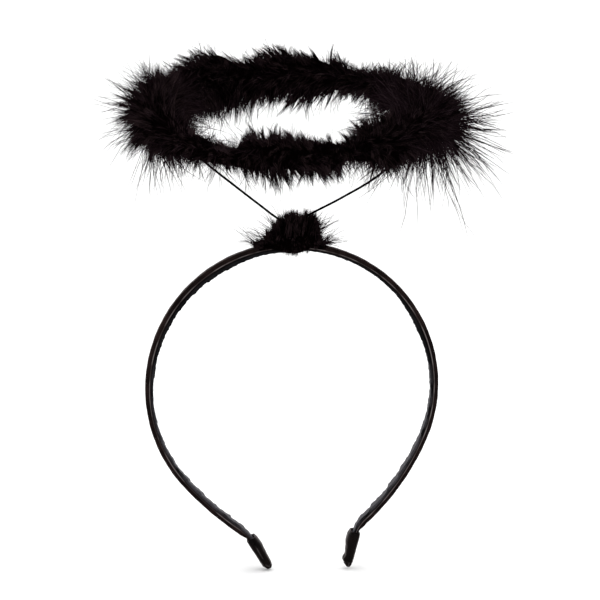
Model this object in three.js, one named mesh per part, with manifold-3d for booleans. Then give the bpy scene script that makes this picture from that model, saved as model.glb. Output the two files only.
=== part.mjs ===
// Halo headband: a ribbon-covered hoop that carries a ring of marabou feather on two wire stems.
// Millimetres, +Z up. The origin is the crown seat, where the inner ribbon rests on top of the head.
// +X runs to the right as seen from the front, and the front looks along -Y.
// The hoop stands in the XZ plane, and the feather ring leans forward above it.
import * as THREE from "three";
import { mergeVertices } from "three/addons/utils/BufferGeometryUtils.js";
import Module from "manifold-3d";

const wasm = await Module();
wasm.setup();

const DEG = Math.PI / 180;

// Gap that is left between pieces that touch
const SEAT_GAP = 0.3;

// Hoop: a thin sprung band inside a ribbon cover, measured on the middle of the cover's thickness.
// Each side runs down from the crown through its arcs, flares outward and ends in a straight tip.
// An arc's radius is a share of the hoop's radius, and turns are in degrees.
const HOOP_RADIUS = 70.5;
const LEFT_ARCS = [
  { radius: 1, turn: 132.3 },
  { radius: 2.3, turn: 11.9 },
];
const RIGHT_ARCS = [
  { radius: 1.08, turn: 14 },
  { radius: 0.97, turn: 99 },
  { radius: 1.72, turn: 23.7 },
];
const FLARE_LENGTH = 9;
const LEFT_FLARE = 21.9;
const RIGHT_FLARE = 34.5;
const TIP_LENGTH = 13;

const COVER_WIDTH = 8;
const COVER_THICKNESS = 2.7;
const COVER_END_THICKNESS = 1.2;
const COVER_END_TAPER = 4;

// The cover's section: across is a share of half the width, out a share of the thickness.
// The folded edge of the ribbon makes a small roll low on each side.
const COVER_SECTION = [
  { across: 0.88, out: 0 },
  { across: 1.0, out: 0.14 },
  { across: 1.0, out: 0.36 },
  { across: 0.92, out: 0.46 },
  { across: 0.94, out: 0.62 },
  { across: 0.58, out: 0.94 },
];

// Inner ribbon: glued along the inner face, puckered where the hoop's inside is shorter
const INNER_WIDTH = 7;
const INNER_THICKNESS = 0.8;
const PUCKER_HEIGHT = 0.6;
const PUCKER_PITCH = 11;
const PUCKER_CREST = 0.72;
const INNER_INTO_TIP = 3;

// The puckers' spacing and height wander along the ribbon, in shares of the pitch and of the height.
const PUCKER_SWINGS = [
  { size: 0.6, rate: 0.6 },
  { size: 0.25, rate: 1.6 },
];
const PUCKER_FULLNESS = { mean: 0.6, swing: 0.4, rate: 0.6 };

// Tip wraps: ribbon folded into a pouch over each end of the hoop
const WRAP_WALL = 1;
const WRAP_CLEARANCE = 0.3;
const WRAP_LENGTH = 18.5;
const WRAP_PAST_END = 3.5;
const WRAP_PLEATS = 6;
const WRAP_PLEAT_DEPTH = 0.07;
const WRAP_SQUARENESS = 3.4;

// Stations down a tip wrap. at is a share of its length, wide and thick are shares of its mouth.
const WRAP_SECTIONS = [
  { at: 0, wide: 1.0, thick: 0.98 },
  { at: 0.1, wide: 1.03, thick: 1.06 },
  { at: 0.3, wide: 1.02, thick: 1.1 },
  { at: 0.5, wide: 1.0, thick: 0.98 },
  { at: 0.68, wide: 0.97, thick: 0.88 },
  { at: 0.82, wide: 0.88, thick: 0.8 },
  { at: 0.93, wide: 0.66, thick: 0.55 },
  { at: 1, wide: 0.34, thick: 0.25 },
];

// Wire stems and the wire ring inside the feathers
const STEM_RADIUS = 0.55;
const RING_WIRE_RADIUS = 0.8;
const WIRE_SIDES = 6;
const RING_WIRE_SIDES = 5;
const FOOT_LENGTH = 8;
const FOOT_BEND_LENGTH = 1.2;
const FOOT_BEND_RISE = 0.4;
const FORK_X = -1.5;
const FORK_RISE = 6.6;
const LEFT_SAG = 1;
const RIGHT_SAG = 6.5;
const STEM_ATTACH = 26;

// Feather ring
const RING_RADIUS = 66;
const RING_HEIGHT = 66;
const RING_LEAN = 13.4;
const FUR_RADIUS = 12;
const LOCK_REACH = 7;
const LOCK_ROOT = 5;
const RING_LOCKS = 100;

// Stations round the feather ring. at is in degrees, 0 at the right and 90 at the back.
// wide, tall and lift are shares of the fur radius, reach of the lock reach.
const RING_SECTIONS = [
  { at: 0, wide: 1.35, tall: 1.35, lift: -0.15, reach: 2.3 },
  { at: 20, wide: 1.2, tall: 1.05, lift: 0, reach: 1.7 },
  { at: 40, wide: 0.95, tall: 0.85, lift: 0.1, reach: 1.2 },
  { at: 56, wide: 0.55, tall: 0.5, lift: 0, reach: 0.8 },
  { at: 66, wide: 0.6, tall: 0.6, lift: 0, reach: 0.8 },
  { at: 80, wide: 0.85, tall: 1.0, lift: 0, reach: 1.0 },
  { at: 92, wide: 0.95, tall: 1.05, lift: 0, reach: 1.1 },
  { at: 106, wide: 0.85, tall: 0.9, lift: -0.1, reach: 1.0 },
  { at: 127, wide: 1.0, tall: 1.25, lift: 0, reach: 1.0 },
  { at: 150, wide: 0.95, tall: 1.05, lift: 0, reach: 0.9 },
  { at: 165, wide: 1.1, tall: 1.25, lift: 0, reach: 1.0 },
  { at: 180, wide: 1.1, tall: 1.45, lift: 0, reach: 1.1 },
  { at: 202, wide: 1.0, tall: 1.2, lift: -0.15, reach: 1.1 },
  { at: 222, wide: 0.7, tall: 0.65, lift: -0.3, reach: 1.0 },
  { at: 241, wide: 0.42, tall: 0.36, lift: -0.5, reach: 0.9 },
  { at: 251, wide: 0.75, tall: 0.85, lift: -0.1, reach: 1.2 },
  { at: 266, wide: 0.8, tall: 0.8, lift: -0.05, reach: 1.2 },
  { at: 281, wide: 0.75, tall: 0.75, lift: -0.2, reach: 1.2 },
  { at: 289, wide: 0.45, tall: 0.42, lift: -0.1, reach: 1.0 },
  { at: 300, wide: 0.8, tall: 0.85, lift: 0.1, reach: 1.2 },
  { at: 311, wide: 1.05, tall: 1.2, lift: -0.1, reach: 1.5 },
  { at: 335, wide: 1.2, tall: 1.2, lift: -0.1, reach: 2.0 },
];

// Tuft: a short piece of the same feather wound round the hoop below the fork
const TUFT_HALF_LENGTH = 17;
const TUFT_HALF_DEPTH = 10;
const TUFT_RISE = 12.2;
const TUFT_UNDER = 1.8;
const TUFT_SHOULDER = 0.35;
const TUFT_LOCKS = 24;
const TUFT_REACH = 6;
const TUFT_LOCK_ROOT = 3.6;

// Sequences that spread repeated locks evenly without lining them up
const GOLDEN_TURN = 0.61803399;
const SECOND_TURN = 0.75487767;
const THIRD_TURN = 0.56984029;
const spread = (index, turn) => ((index + 0.5) * turn) % 1;

const between0And1 = (value) => Math.min(1, Math.max(0, value));

// Solids

const MERGE_DISTANCE = 1e-4;

const toSolid = (geometry) => {
  const bare = new THREE.BufferGeometry();
  const flat = geometry.index ? geometry.toNonIndexed() : geometry;
  bare.setAttribute("position", flat.getAttribute("position"));
  const merged = mergeVertices(bare, MERGE_DISTANCE);
  return new wasm.Manifold(
    new wasm.Mesh({
      numProp: 3,
      vertProperties: merged.getAttribute("position").array,
      triVerts: new Uint32Array(merged.index.array),
    }),
  );
};

const toGeometry = (solid) => {
  const mesh = solid.getMesh();
  const geometry = new THREE.BufferGeometry();
  const positions = new Float32Array(mesh.numVert * 3);
  for (let i = 0; i < mesh.numVert; i++) {
    const start = i * mesh.numProp;
    positions.set(mesh.vertProperties.subarray(start, start + 3), i * 3);
  }
  geometry.setAttribute("position", new THREE.BufferAttribute(positions, 3));
  geometry.setIndex(new THREE.BufferAttribute(new Uint32Array(mesh.triVerts), 1));
  geometry.computeVertexNormals();
  return geometry;
};

// A closed skin through rings of points that all have the same count. With closed, the last ring
// meets the first. Otherwise each end is capped, or drawn to its own point where one is given.
const loft = (rings, { closed = false, startPoint = null, endPoint = null } = {}) => {
  const count = rings[0].length;
  const points = rings.flat();
  const faces = [];
  const spans = closed ? rings.length : rings.length - 1;
  for (let r = 0; r < spans; r++) {
    const next = (r + 1) % rings.length;
    for (let i = 0; i < count; i++) {
      const j = (i + 1) % count;
      faces.push(r * count + i, r * count + j, next * count + j);
      faces.push(r * count + i, next * count + j, next * count + i);
    }
  }
  const cap = (ring, reversed, point) => {
    const centre = point ?? averageOf(rings[ring]);
    points.push(centre);
    for (let i = 0; i < count; i++) {
      const j = (i + 1) % count;
      const pair = reversed ? [j, i] : [i, j];
      faces.push(ring * count + pair[0], ring * count + pair[1], points.length - 1);
    }
  };
  if (!closed) {
    cap(0, true, startPoint);
    cap(rings.length - 1, false, endPoint);
  }
  const geometry = new THREE.BufferGeometry();
  geometry.setAttribute(
    "position",
    new THREE.Float32BufferAttribute(points.flatMap((p) => [p.x, p.y, p.z]), 3),
  );
  geometry.setIndex(faces);
  return facingOut(geometry);
};

const averageOf = (ring) =>
  ring.reduce((sum, p) => sum.add(p), new THREE.Vector3()).divideScalar(ring.length);

// Turns the faces round where the winding has made the solid inside out.
const facingOut = (geometry) => {
  const position = geometry.getAttribute("position");
  const index = geometry.index.array;
  const corner = (i) => new THREE.Vector3().fromBufferAttribute(position, index[i]);
  let volume = 0;
  for (let i = 0; i < index.length; i += 3) {
    volume += corner(i).dot(corner(i + 1).cross(corner(i + 2)));
  }
  if (volume < 0) {
    for (let i = 0; i < index.length; i += 3) {
      [index[i + 1], index[i + 2]] = [index[i + 2], index[i + 1]];
    }
  }
  return geometry;
};

const solidLoft = (rings, options) => toSolid(loft(rings, options));

// The largest body of a solid, without the scraps that a cut has separated from it.
const largestBody = (solid) =>
  solid.decompose().reduce((a, b) => (a.volume() > b.volume() ? a : b));

// A smooth value between the rows of a table, where at is the column that orders them.
const tableValue = (rows, at, column, period = null) => {
  const place = period ? ((at % period) + period) % period : at;
  const from = rows.filter((row) => row.at <= place).at(-1) ?? rows[0];
  const next = rows[rows.indexOf(from) + 1];
  const to = next ?? (period ? rows[0] : from);
  const end = next ? next.at : period ?? from.at;
  const share = end > from.at ? (place - from.at) / (end - from.at) : 0;
  const eased = share * share * (3 - 2 * share);
  return from[column] + (to[column] - from[column]) * eased;
};

// Hoop line

// One side of the hoop as pieces from the crown to its end, with outward turns negative.
const hoopSide = (arcs, flare) => [
  ...arcs.map(({ radius, turn }) => ({ length: HOOP_RADIUS * radius * turn * DEG, turn })),
  { length: FLARE_LENGTH, turn: -flare },
  { length: TIP_LENGTH, turn: 0 },
];
const HOOP_SIDES = {
  left: hoopSide(LEFT_ARCS, LEFT_FLARE),
  right: hoopSide(RIGHT_ARCS, RIGHT_FLARE),
};

const sideLength = (side) => HOOP_SIDES[side].reduce((sum, piece) => sum + piece.length, 0);

const COVER_INNER_FACE = INNER_THICKNESS + SEAT_GAP;
const HOOP_LINE_HEIGHT = COVER_INNER_FACE + COVER_THICKNESS / 2;

// Place on the hoop's middle line, a length along one side from the crown, and straight on past its end.
const STRAIGHT_TURN = 1e-9;
const hoopStation = (side, along) => {
  let x = 0;
  let z = HOOP_LINE_HEIGHT;
  let heading = 0;
  let remaining = along;
  const pieces = HOOP_SIDES[side];
  pieces.forEach((piece, i) => {
    const isLast = i === pieces.length - 1;
    const step = isLast ? remaining : Math.min(remaining, piece.length);
    if (step <= 0) return;
    const bend = ((piece.turn * DEG) / piece.length) * step;
    const isBent = Math.abs(bend) > STRAIGHT_TURN;
    const chord = isBent ? (2 * step * Math.sin(bend / 2)) / bend : step;
    x += chord * Math.cos(heading + bend / 2);
    z -= chord * Math.sin(heading + bend / 2);
    heading += bend;
    remaining -= step;
  });
  const mirror = side === "left" ? -1 : 1;
  return {
    centre: new THREE.Vector3(mirror * x, 0, z),
    forward: new THREE.Vector3(mirror * Math.cos(heading), 0, -Math.sin(heading)),
    out: new THREE.Vector3(mirror * Math.sin(heading), 0, Math.cos(heading)),
  };
};

// A signed length along the whole hoop: negative on the left, positive on the right.
const hoopPlace = (along) => hoopStation(along < 0 ? "left" : "right", Math.abs(along));

// Stations between two signed lengths, about step apart.
const stationsBetween = (start, end, step) => {
  const count = Math.max(1, Math.round(Math.abs(end - start) / step));
  return Array.from({ length: count + 1 }, (_, i) => start + ((end - start) * i) / count);
};

// Where the tip wrap begins on a side, measured from the crown
const WRAP_REACH = WRAP_LENGTH - WRAP_PAST_END;
const mouthAt = (side) => sideLength(side) - WRAP_REACH;

// Stations down one side, one wherever the section changes. A chord's sag from its arc is an eighth
// of its length times its bend, and in the bends the stations are as close as the sag allows.
const CHORD_SAG = 0.11;
const sideStations = (side) => {
  const stops = [0, mouthAt(side) - COVER_END_TAPER, mouthAt(side)];
  let start = 0;
  HOOP_SIDES[side].forEach(({ length, turn }) => {
    const count = Math.ceil(Math.sqrt((length * Math.abs(turn) * DEG) / (8 * CHORD_SAG))) || 1;
    for (let i = 1; i <= count; i++) stops.push(start + (length * i) / count);
    start += length;
  });
  return stops.sort((a, b) => a - b).filter((stop, i) => i === 0 || stop - stops[i - 1] > SEAT_GAP);
};

const atStation = (station, across, out) =>
  station.centre
    .clone()
    .addScaledVector(station.out, out)
    .add(new THREE.Vector3(0, across, 0));

// Ribbon cover of the hoop

// The cover thins from its outer face to the bare band inside the tip wraps.
const coverThickness = (along) => {
  const toMouth = mouthAt(along < 0 ? "left" : "right") - Math.abs(along);
  const share = between0And1(toMouth / COVER_END_TAPER);
  return COVER_END_THICKNESS + (COVER_THICKNESS - COVER_END_THICKNESS) * share;
};

// The cover's outline, grown all round by an allowance, as a ring of points at a signed length.
const coverRing = (along, allowance) => {
  const halfWidth = COVER_WIDTH / 2 + allowance;
  const thickness = coverThickness(along) + 2 * allowance;
  const inside = -COVER_THICKNESS / 2 - allowance;
  const side = COVER_SECTION.map(({ across, out }) => [
    across * halfWidth,
    inside + out * thickness,
  ]);
  const crest = [0, inside + thickness];
  const mirrored = side.map(([across, out]) => [-across, out]).reverse();
  const station = hoopPlace(along);
  return [...side, crest, ...mirrored].map(([across, out]) => atStation(station, across, out));
};

const headband = () => {
  const left = sideStations("left").map((stop) => -stop).reverse();
  const right = sideStations("right").slice(1);
  return loft([...left, ...right].map((along) => coverRing(along, 0)));
};

// Inner ribbon

// How far from the crown the puckers begin, so that the tuft lies flat there
const PUCKER_START = TUFT_HALF_LENGTH + Math.abs(FORK_X);

// Rise of the ribbon's puckers off the hoop: each climbs slowly and drops at its crest.
const puckerRise = (along) => {
  const fromTuft = Math.abs(along) - PUCKER_START;
  const toMouth = mouthAt(along < 0 ? "left" : "right") - Math.abs(along);
  const fade = between0And1(Math.min(fromTuft, toMouth) / PUCKER_PITCH);
  const place = along / PUCKER_PITCH;
  const shift = PUCKER_SWINGS.reduce((sum, { size, rate }) => sum + size * Math.sin(place * rate), 0);
  const phase = (((place + shift) % 1) + 1) % 1;
  const shape = Math.min(phase / PUCKER_CREST, (1 - phase) / (1 - PUCKER_CREST));
  const { mean, swing, rate } = PUCKER_FULLNESS;
  const fullness = mean + swing * Math.sin(place * rate + 1);
  return PUCKER_HEIGHT * shape * fullness * fade;
};

// The ribbon's outline, grown all round by an allowance, as a ring of points at a signed length.
const innerRing = (along, allowance) => {
  const half = INNER_WIDTH / 2 + allowance;
  const near = -COVER_THICKNESS / 2 - SEAT_GAP + allowance;
  const rise = puckerRise(along);
  const far = near - INNER_THICKNESS - rise - 2 * allowance;
  const station = hoopPlace(along);
  return [
    [-half, near],
    [half, near],
    [half, far + rise / 2],
    [half / 2, far],
    [-half / 2, far],
    [-half, far + rise / 2],
  ].map(([across, out]) => atStation(station, across, out));
};

const innerEnd = (side) => mouthAt(side) + INNER_INTO_TIP;

const INNER_STEP = PUCKER_PITCH / 3;
const innerRibbon = () => {
  const stations = stationsBetween(-innerEnd("left"), innerEnd("right"), INNER_STEP);
  return loft(stations.map((along) => innerRing(along, 0)));
};

// Tip wraps

// Thickness of what a tip wrap holds at its mouth, and its middle as a distance out from the hoop line
const HELD_THICKNESS = COVER_END_THICKNESS + SEAT_GAP + INNER_THICKNESS;
const HELD_MIDDLE = COVER_END_THICKNESS - COVER_THICKNESS / 2 - HELD_THICKNESS / 2;
const WRAP_MOUTH_WIDTH = COVER_WIDTH + 2 * (WRAP_CLEARANCE + WRAP_WALL);
const WRAP_MOUTH_THICKNESS = HELD_THICKNESS + 2 * (WRAP_CLEARANCE + WRAP_WALL);

// A pouch section: an ellipse drawn towards a box, with pleats along the pouch.
const pouchRing = (station, halfWidth, halfThickness, pleatDepth) => {
  const count = WRAP_PLEATS * 2;
  const power = (value) => Math.abs(value) ** WRAP_SQUARENESS;
  return Array.from({ length: count }, (_, i) => {
    const angle = ((i + 0.5) / count) * 2 * Math.PI;
    const squared = (power(Math.cos(angle)) + power(Math.sin(angle))) ** (-1 / WRAP_SQUARENESS);
    const pleat = 1 - (i % 2) * pleatDepth;
    return atStation(
      station,
      halfWidth * squared * pleat * Math.cos(angle),
      HELD_MIDDLE + halfThickness * squared * pleat * Math.sin(angle),
    );
  });
};

const ROOM_STEP = FLARE_LENGTH / 3;
const tipWrap = (side) => {
  const mouth = mouthAt(side);
  const rings = WRAP_SECTIONS.map(({ at, wide, thick }) =>
    pouchRing(
      hoopStation(side, mouth + at * WRAP_LENGTH),
      (WRAP_MOUTH_WIDTH / 2) * wide * (1 + WRAP_PLEAT_DEPTH),
      (WRAP_MOUTH_THICKNESS / 2) * thick * (1 + WRAP_PLEAT_DEPTH),
      WRAP_PLEAT_DEPTH,
    ),
  );
  const sign = side === "left" ? -1 : 1;
  const before = sign * (mouth - WRAP_WALL);
  const room = (ringAt, end) =>
    solidLoft(
      stationsBetween(before, sign * (end + WRAP_CLEARANCE), ROOM_STEP).map((along) =>
        ringAt(along, WRAP_CLEARANCE),
      ),
    );
  const hoopRoom = room(coverRing, sideLength(side));
  const ribbonRoom = room(innerRing, innerEnd(side));
  return toGeometry(largestBody(solidLoft(rings).subtract(hoopRoom).subtract(ribbonRoom)));
};

// Feather ring

// The ring's own frame: right, back and up, leaned forward about the X axis
const RING_CENTRE = new THREE.Vector3(0, 0, RING_HEIGHT);
const RING_UP = new THREE.Vector3(0, -Math.sin(RING_LEAN * DEG), Math.cos(RING_LEAN * DEG));
const RING_BACK = new THREE.Vector3(0, Math.cos(RING_LEAN * DEG), Math.sin(RING_LEAN * DEG));

// Place on the ring's core line at an angle in degrees, with the way out of the ring and along it.
const ringStation = (degrees) => {
  const cos = Math.cos(degrees * DEG);
  const sin = Math.sin(degrees * DEG);
  const outward = new THREE.Vector3(cos, 0, 0).addScaledVector(RING_BACK, sin);
  const along = new THREE.Vector3(-sin, 0, 0).addScaledVector(RING_BACK, cos);
  return { centre: RING_CENTRE.clone().addScaledVector(outward, RING_RADIUS), outward, along };
};

const ringColumn = (degrees, column) => tableValue(RING_SECTIONS, degrees, column, 360);

// Point on the fur's dense body, with turn the share of a turn round its section.
const furPoint = (degrees, turn, depth = 1) => {
  const station = ringStation(degrees);
  const angle = turn * 2 * Math.PI;
  const wide = FUR_RADIUS * ringColumn(degrees, "wide") * Math.cos(angle) * depth;
  const tall = FUR_RADIUS * ringColumn(degrees, "tall") * Math.sin(angle) * depth;
  const lift = FUR_RADIUS * ringColumn(degrees, "lift");
  return station.centre
    .addScaledVector(station.outward, wide)
    .addScaledVector(RING_UP, tall + lift);
};

const BODY_STEPS = 54;
const BODY_SIDES = 7;
const furBody = () =>
  solidLoft(
    Array.from({ length: BODY_STEPS }, (_, i) =>
      Array.from({ length: BODY_SIDES }, (_, j) =>
        furPoint((i / BODY_STEPS) * 360, (j + (i % 2) / 2) / BODY_SIDES),
      ),
    ),
    { closed: true },
  );

// A lock of barbs: a flat four-sided leaf from a root, bent sideways on its way to the tip.
const LOCK_SIDES = 4;
const LOCK_FLATNESS = 0.5;
const LOCK_BELLY = { at: 0.5, wide: 0.8 };
const lockSolid = (root, direction, length, radius, bend, side) => {
  const aside = new THREE.Vector3().crossVectors(direction, side).normalize();
  const second = new THREE.Vector3().crossVectors(direction, aside).normalize();
  const ring = (share, size) => {
    const centre = root
      .clone()
      .addScaledVector(direction, length * share)
      .addScaledVector(bend, length * share * share);
    return Array.from({ length: LOCK_SIDES }, (_, i) => {
      const angle = (i / LOCK_SIDES) * 2 * Math.PI;
      return centre
        .clone()
        .addScaledVector(aside, size * LOCK_FLATNESS * Math.cos(angle))
        .addScaledVector(second, size * Math.sin(angle));
    });
  };
  const tip = root.clone().addScaledVector(direction, length).addScaledVector(bend, length);
  const belly = ring(LOCK_BELLY.at, radius * LOCK_BELLY.wide);
  return solidLoft([ring(0, radius), belly], { endPoint: tip });
};

// How far a lock reaches past the dense body, each by its own share more or less
const LOCK_VARIATION = 0.3;
const lockReach = (reach, index) =>
  reach * (1 + LOCK_VARIATION * (2 * spread(index, THIRD_TURN) - 1));

const LOCK_ROOT_DEPTH = 0.62;
const LOCK_LEAN = 0.8;
const LOCK_DROOP = 0.22;
const LOCK_CURL = 0.33;

const ringLock = (index) => {
  const degrees = (index / RING_LOCKS) * 360;
  const turn = spread(index, GOLDEN_TURN);
  const station = ringStation(degrees);
  const root = furPoint(degrees, turn, LOCK_ROOT_DEPTH);
  const surface = furPoint(degrees, turn);
  const outward = surface.clone().sub(station.centre).normalize();
  const lean = LOCK_LEAN * (2 * spread(index, SECOND_TURN) - 1);
  const direction = outward.addScaledVector(station.along, lean).normalize();
  const reach = lockReach(LOCK_REACH * ringColumn(degrees, "reach"), index);
  const length = surface.distanceTo(root) + reach;
  const droop = new THREE.Vector3(0, 0, -LOCK_DROOP);
  const bend = droop.addScaledVector(station.along, -lean * LOCK_CURL);
  return lockSolid(root, direction, length, LOCK_ROOT, bend, RING_UP);
};

// Stems and ring wire

// A stem's foot lies on the cover, this far out from the hoop line
const FOOT_OUT = COVER_THICKNESS / 2 + SEAT_GAP + STEM_RADIUS;
const FORK_HEIGHT = HOOP_LINE_HEIGHT + FOOT_OUT + FORK_RISE;
const STEM_SPACING = STEM_RADIUS + SEAT_GAP / 2;

// Makes a stem's sag deepest two thirds of the way out, where this factor makes it the full sag
const SAG_SHAPE = 27 / 4;
const SAG_SHARES = [0.15, 0.4, 0.7];
const ARRIVAL_SHARE = 0.9;

// A stem's route: a foot along the hoop's crown, up to the fork, and out to the ring's wire.
const stemCurve = (side) => {
  const sign = side === "left" ? -1 : 1;
  const sag = side === "left" ? LEFT_SAG : RIGHT_SAG;
  const attach = ringStation(side === "left" ? 180 + STEM_ATTACH : 360 - STEM_ATTACH).centre;
  const footX = FORK_X + sign * STEM_SPACING;
  const fork = new THREE.Vector3(footX, 0, FORK_HEIGHT);
  const onHoop = (along) => atStation(hoopPlace(along), 0, FOOT_OUT);
  const sagged = (share) =>
    fork
      .clone()
      .lerp(attach, share)
      .add(new THREE.Vector3(0, 0, -SAG_SHAPE * sag * share ** 2 * (1 - share)));
  const arrival = attach.clone().sub(sagged(ARRIVAL_SHARE)).normalize();
  const end = attach.clone().addScaledVector(arrival, -(RING_WIRE_RADIUS + SEAT_GAP));
  return new THREE.CatmullRomCurve3(
    [
      onHoop(footX + sign * FOOT_LENGTH),
      onHoop(footX + (sign * FOOT_LENGTH) / 2),
      onHoop(footX + sign * FOOT_BEND_LENGTH).add(new THREE.Vector3(0, 0, FOOT_BEND_RISE)),
      fork.clone().add(new THREE.Vector3(0, 0, -FORK_RISE / 2)),
      fork,
      ...SAG_SHARES.map(sagged),
      end,
    ],
    false,
    "centripetal",
  );
};

const wireSection = (radius) => {
  const corners = Array.from({ length: WIRE_SIDES }, (_, i) => {
    const angle = (i / WIRE_SIDES) * 2 * Math.PI;
    return new THREE.Vector2(radius * Math.cos(angle), radius * Math.sin(angle));
  });
  return new THREE.Shape(corners);
};

const STEM_STEPS = 22;
const stemTube = (side, radius) =>
  new THREE.ExtrudeGeometry(wireSection(radius), {
    steps: STEM_STEPS,
    extrudePath: stemCurve(side),
    bevelEnabled: false,
  });

const RING_WIRE_STEPS = 48;
const ringWire = (radius) => {
  const torus = new THREE.TorusGeometry(RING_RADIUS, radius, RING_WIRE_SIDES, RING_WIRE_STEPS);
  const basis = new THREE.Matrix4().makeBasis(new THREE.Vector3(1, 0, 0), RING_BACK, RING_UP);
  return torus.applyMatrix4(basis.setPosition(RING_CENTRE));
};

const stemRooms = () =>
  ["left", "right"]
    .map((side) => toSolid(stemTube(side, STEM_RADIUS + SEAT_GAP)))
    .reduce((a, b) => a.add(b));

const featherRing = () => {
  const locks = Array.from({ length: RING_LOCKS }, (_, i) => ringLock(i));
  const fur = locks.reduce((sum, lock) => sum.add(lock), furBody());
  const wireRoom = toSolid(ringWire(RING_WIRE_RADIUS + SEAT_GAP));
  return toGeometry(largestBody(fur.subtract(wireRoom).subtract(stemRooms())));
};

// Tuft

// How far the tuft has swelled at a share of its half length: full over its middle, nothing at its ends.
const tuftSwell = (share) => {
  const fall = between0And1((Math.abs(share) - TUFT_SHOULDER) / (1 - TUFT_SHOULDER));
  return 1 - fall * fall * (3 - 2 * fall);
};

// Point on the tuft's dense body: share runs along the hoop from -1 to 1, turn round the section.
const TUFT_SKIRT = 1.4;
const tuftPoint = (share, turn, depth = 1) => {
  const station = hoopPlace(FORK_X + share * TUFT_HALF_LENGTH);
  const swell = tuftSwell(share);
  const angle = turn * 2 * Math.PI;
  const top = COVER_THICKNESS / 2 + TUFT_SKIRT + (TUFT_RISE - TUFT_SKIRT) * swell;
  const bottom = -COVER_THICKNESS / 2 - (COVER_INNER_FACE + TUFT_UNDER) * swell;
  const skirt = COVER_WIDTH / 2 + TUFT_SKIRT;
  const halfDepth = skirt + (TUFT_HALF_DEPTH - skirt) * swell;
  return atStation(
    station,
    halfDepth * Math.cos(angle) * depth,
    (top + bottom) / 2 + ((top - bottom) / 2) * Math.sin(angle) * depth,
  );
};

const TUFT_STEPS = 8;
const TUFT_SIDES = 10;
const tuftBody = () =>
  solidLoft(
    stationsBetween(-1, 1, 2 / TUFT_STEPS).map((share, i) =>
      Array.from({ length: TUFT_SIDES }, (_, j) => tuftPoint(share, (j + (i % 2) / 2) / TUFT_SIDES)),
    ),
  );

// Locks stand on the tuft's top and sides, within these shares of its half length and of a turn.
const TUFT_LOCK_SPAN = 0.8;
const TUFT_LOCK_TURNS = { first: 0.04, last: 0.46 };
const TUFT_ROOT_DEPTH = 0.5;
const TUFT_FAN = 0.9;
const TUFT_LIFT = 0.3;
const TUFT_CURL = 0.1;
const TUFT_DROOP = 0.12;

const tuftLock = (index) => {
  const share = TUFT_LOCK_SPAN * (2 * spread(index, GOLDEN_TURN) - 1);
  const { first, last } = TUFT_LOCK_TURNS;
  const turn = first + (last - first) * spread(index, SECOND_TURN);
  const root = tuftPoint(share, turn, TUFT_ROOT_DEPTH);
  const surface = tuftPoint(share, turn);
  const fan = new THREE.Vector3(TUFT_FAN * share, 0, TUFT_LIFT);
  const direction = surface.clone().sub(root).normalize().add(fan).normalize();
  const length = surface.distanceTo(root) + lockReach(TUFT_REACH, index);
  const bend = new THREE.Vector3(TUFT_CURL * share, 0, -TUFT_DROOP);
  return lockSolid(root, direction, length, TUFT_LOCK_ROOT, bend, new THREE.Vector3(0, 1, 0));
};

// Steps of the room that is cut for the hoop, each side of the fork
const TUFT_ROOM_STEPS = 4;
const tuft = () => {
  const locks = Array.from({ length: TUFT_LOCKS }, (_, i) => tuftLock(i));
  const fur = locks.reduce((sum, lock) => sum.add(lock), tuftBody());
  const reach = 2 * TUFT_HALF_LENGTH;
  const stations = stationsBetween(FORK_X - reach, FORK_X + reach, reach / TUFT_ROOM_STEPS);
  const room = (ringAt) => solidLoft(stations.map((along) => ringAt(along, SEAT_GAP)));
  return toGeometry(
    largestBody(fur.subtract(room(coverRing)).subtract(room(innerRing)).subtract(stemRooms())),
  );
};

// Assembly

const material = (color, roughness) =>
  new THREE.MeshStandardMaterial({ color, roughness, metalness: 0 });

const coverRibbon = material(0x14100f, 0.55);
const liningRibbon = material(0x2b2b2e, 0.6);
const wireCoat = material(0x0a0a0a, 0.5);
const marabou = material(0x0d0a0a, 0.95);

const halo = new THREE.Group();
const addPiece = (name, geometry, surface) => {
  const mesh = new THREE.Mesh(geometry, surface);
  mesh.name = name;
  halo.add(mesh);
};

addPiece("headband", headband(), coverRibbon);
addPiece("inner_ribbon", innerRibbon(), liningRibbon);
addPiece("tip_wrap_left", tipWrap("left"), coverRibbon);
addPiece("tip_wrap_right", tipWrap("right"), coverRibbon);
addPiece("stem_left", stemTube("left", STEM_RADIUS), wireCoat);
addPiece("stem_right", stemTube("right", STEM_RADIUS), wireCoat);
addPiece("ring_wire", ringWire(RING_WIRE_RADIUS), wireCoat);
addPiece("feather_ring", featherRing(), marabou);
addPiece("feather_tuft", tuft(), marabou);

export default halo;
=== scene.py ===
"""Looks of a halo headband: satin ribbon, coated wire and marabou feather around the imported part.

Metres, +Z up. The origin is the crown seat, +X is right as seen from the front, and -Y is the front.
"""

import math

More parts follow.
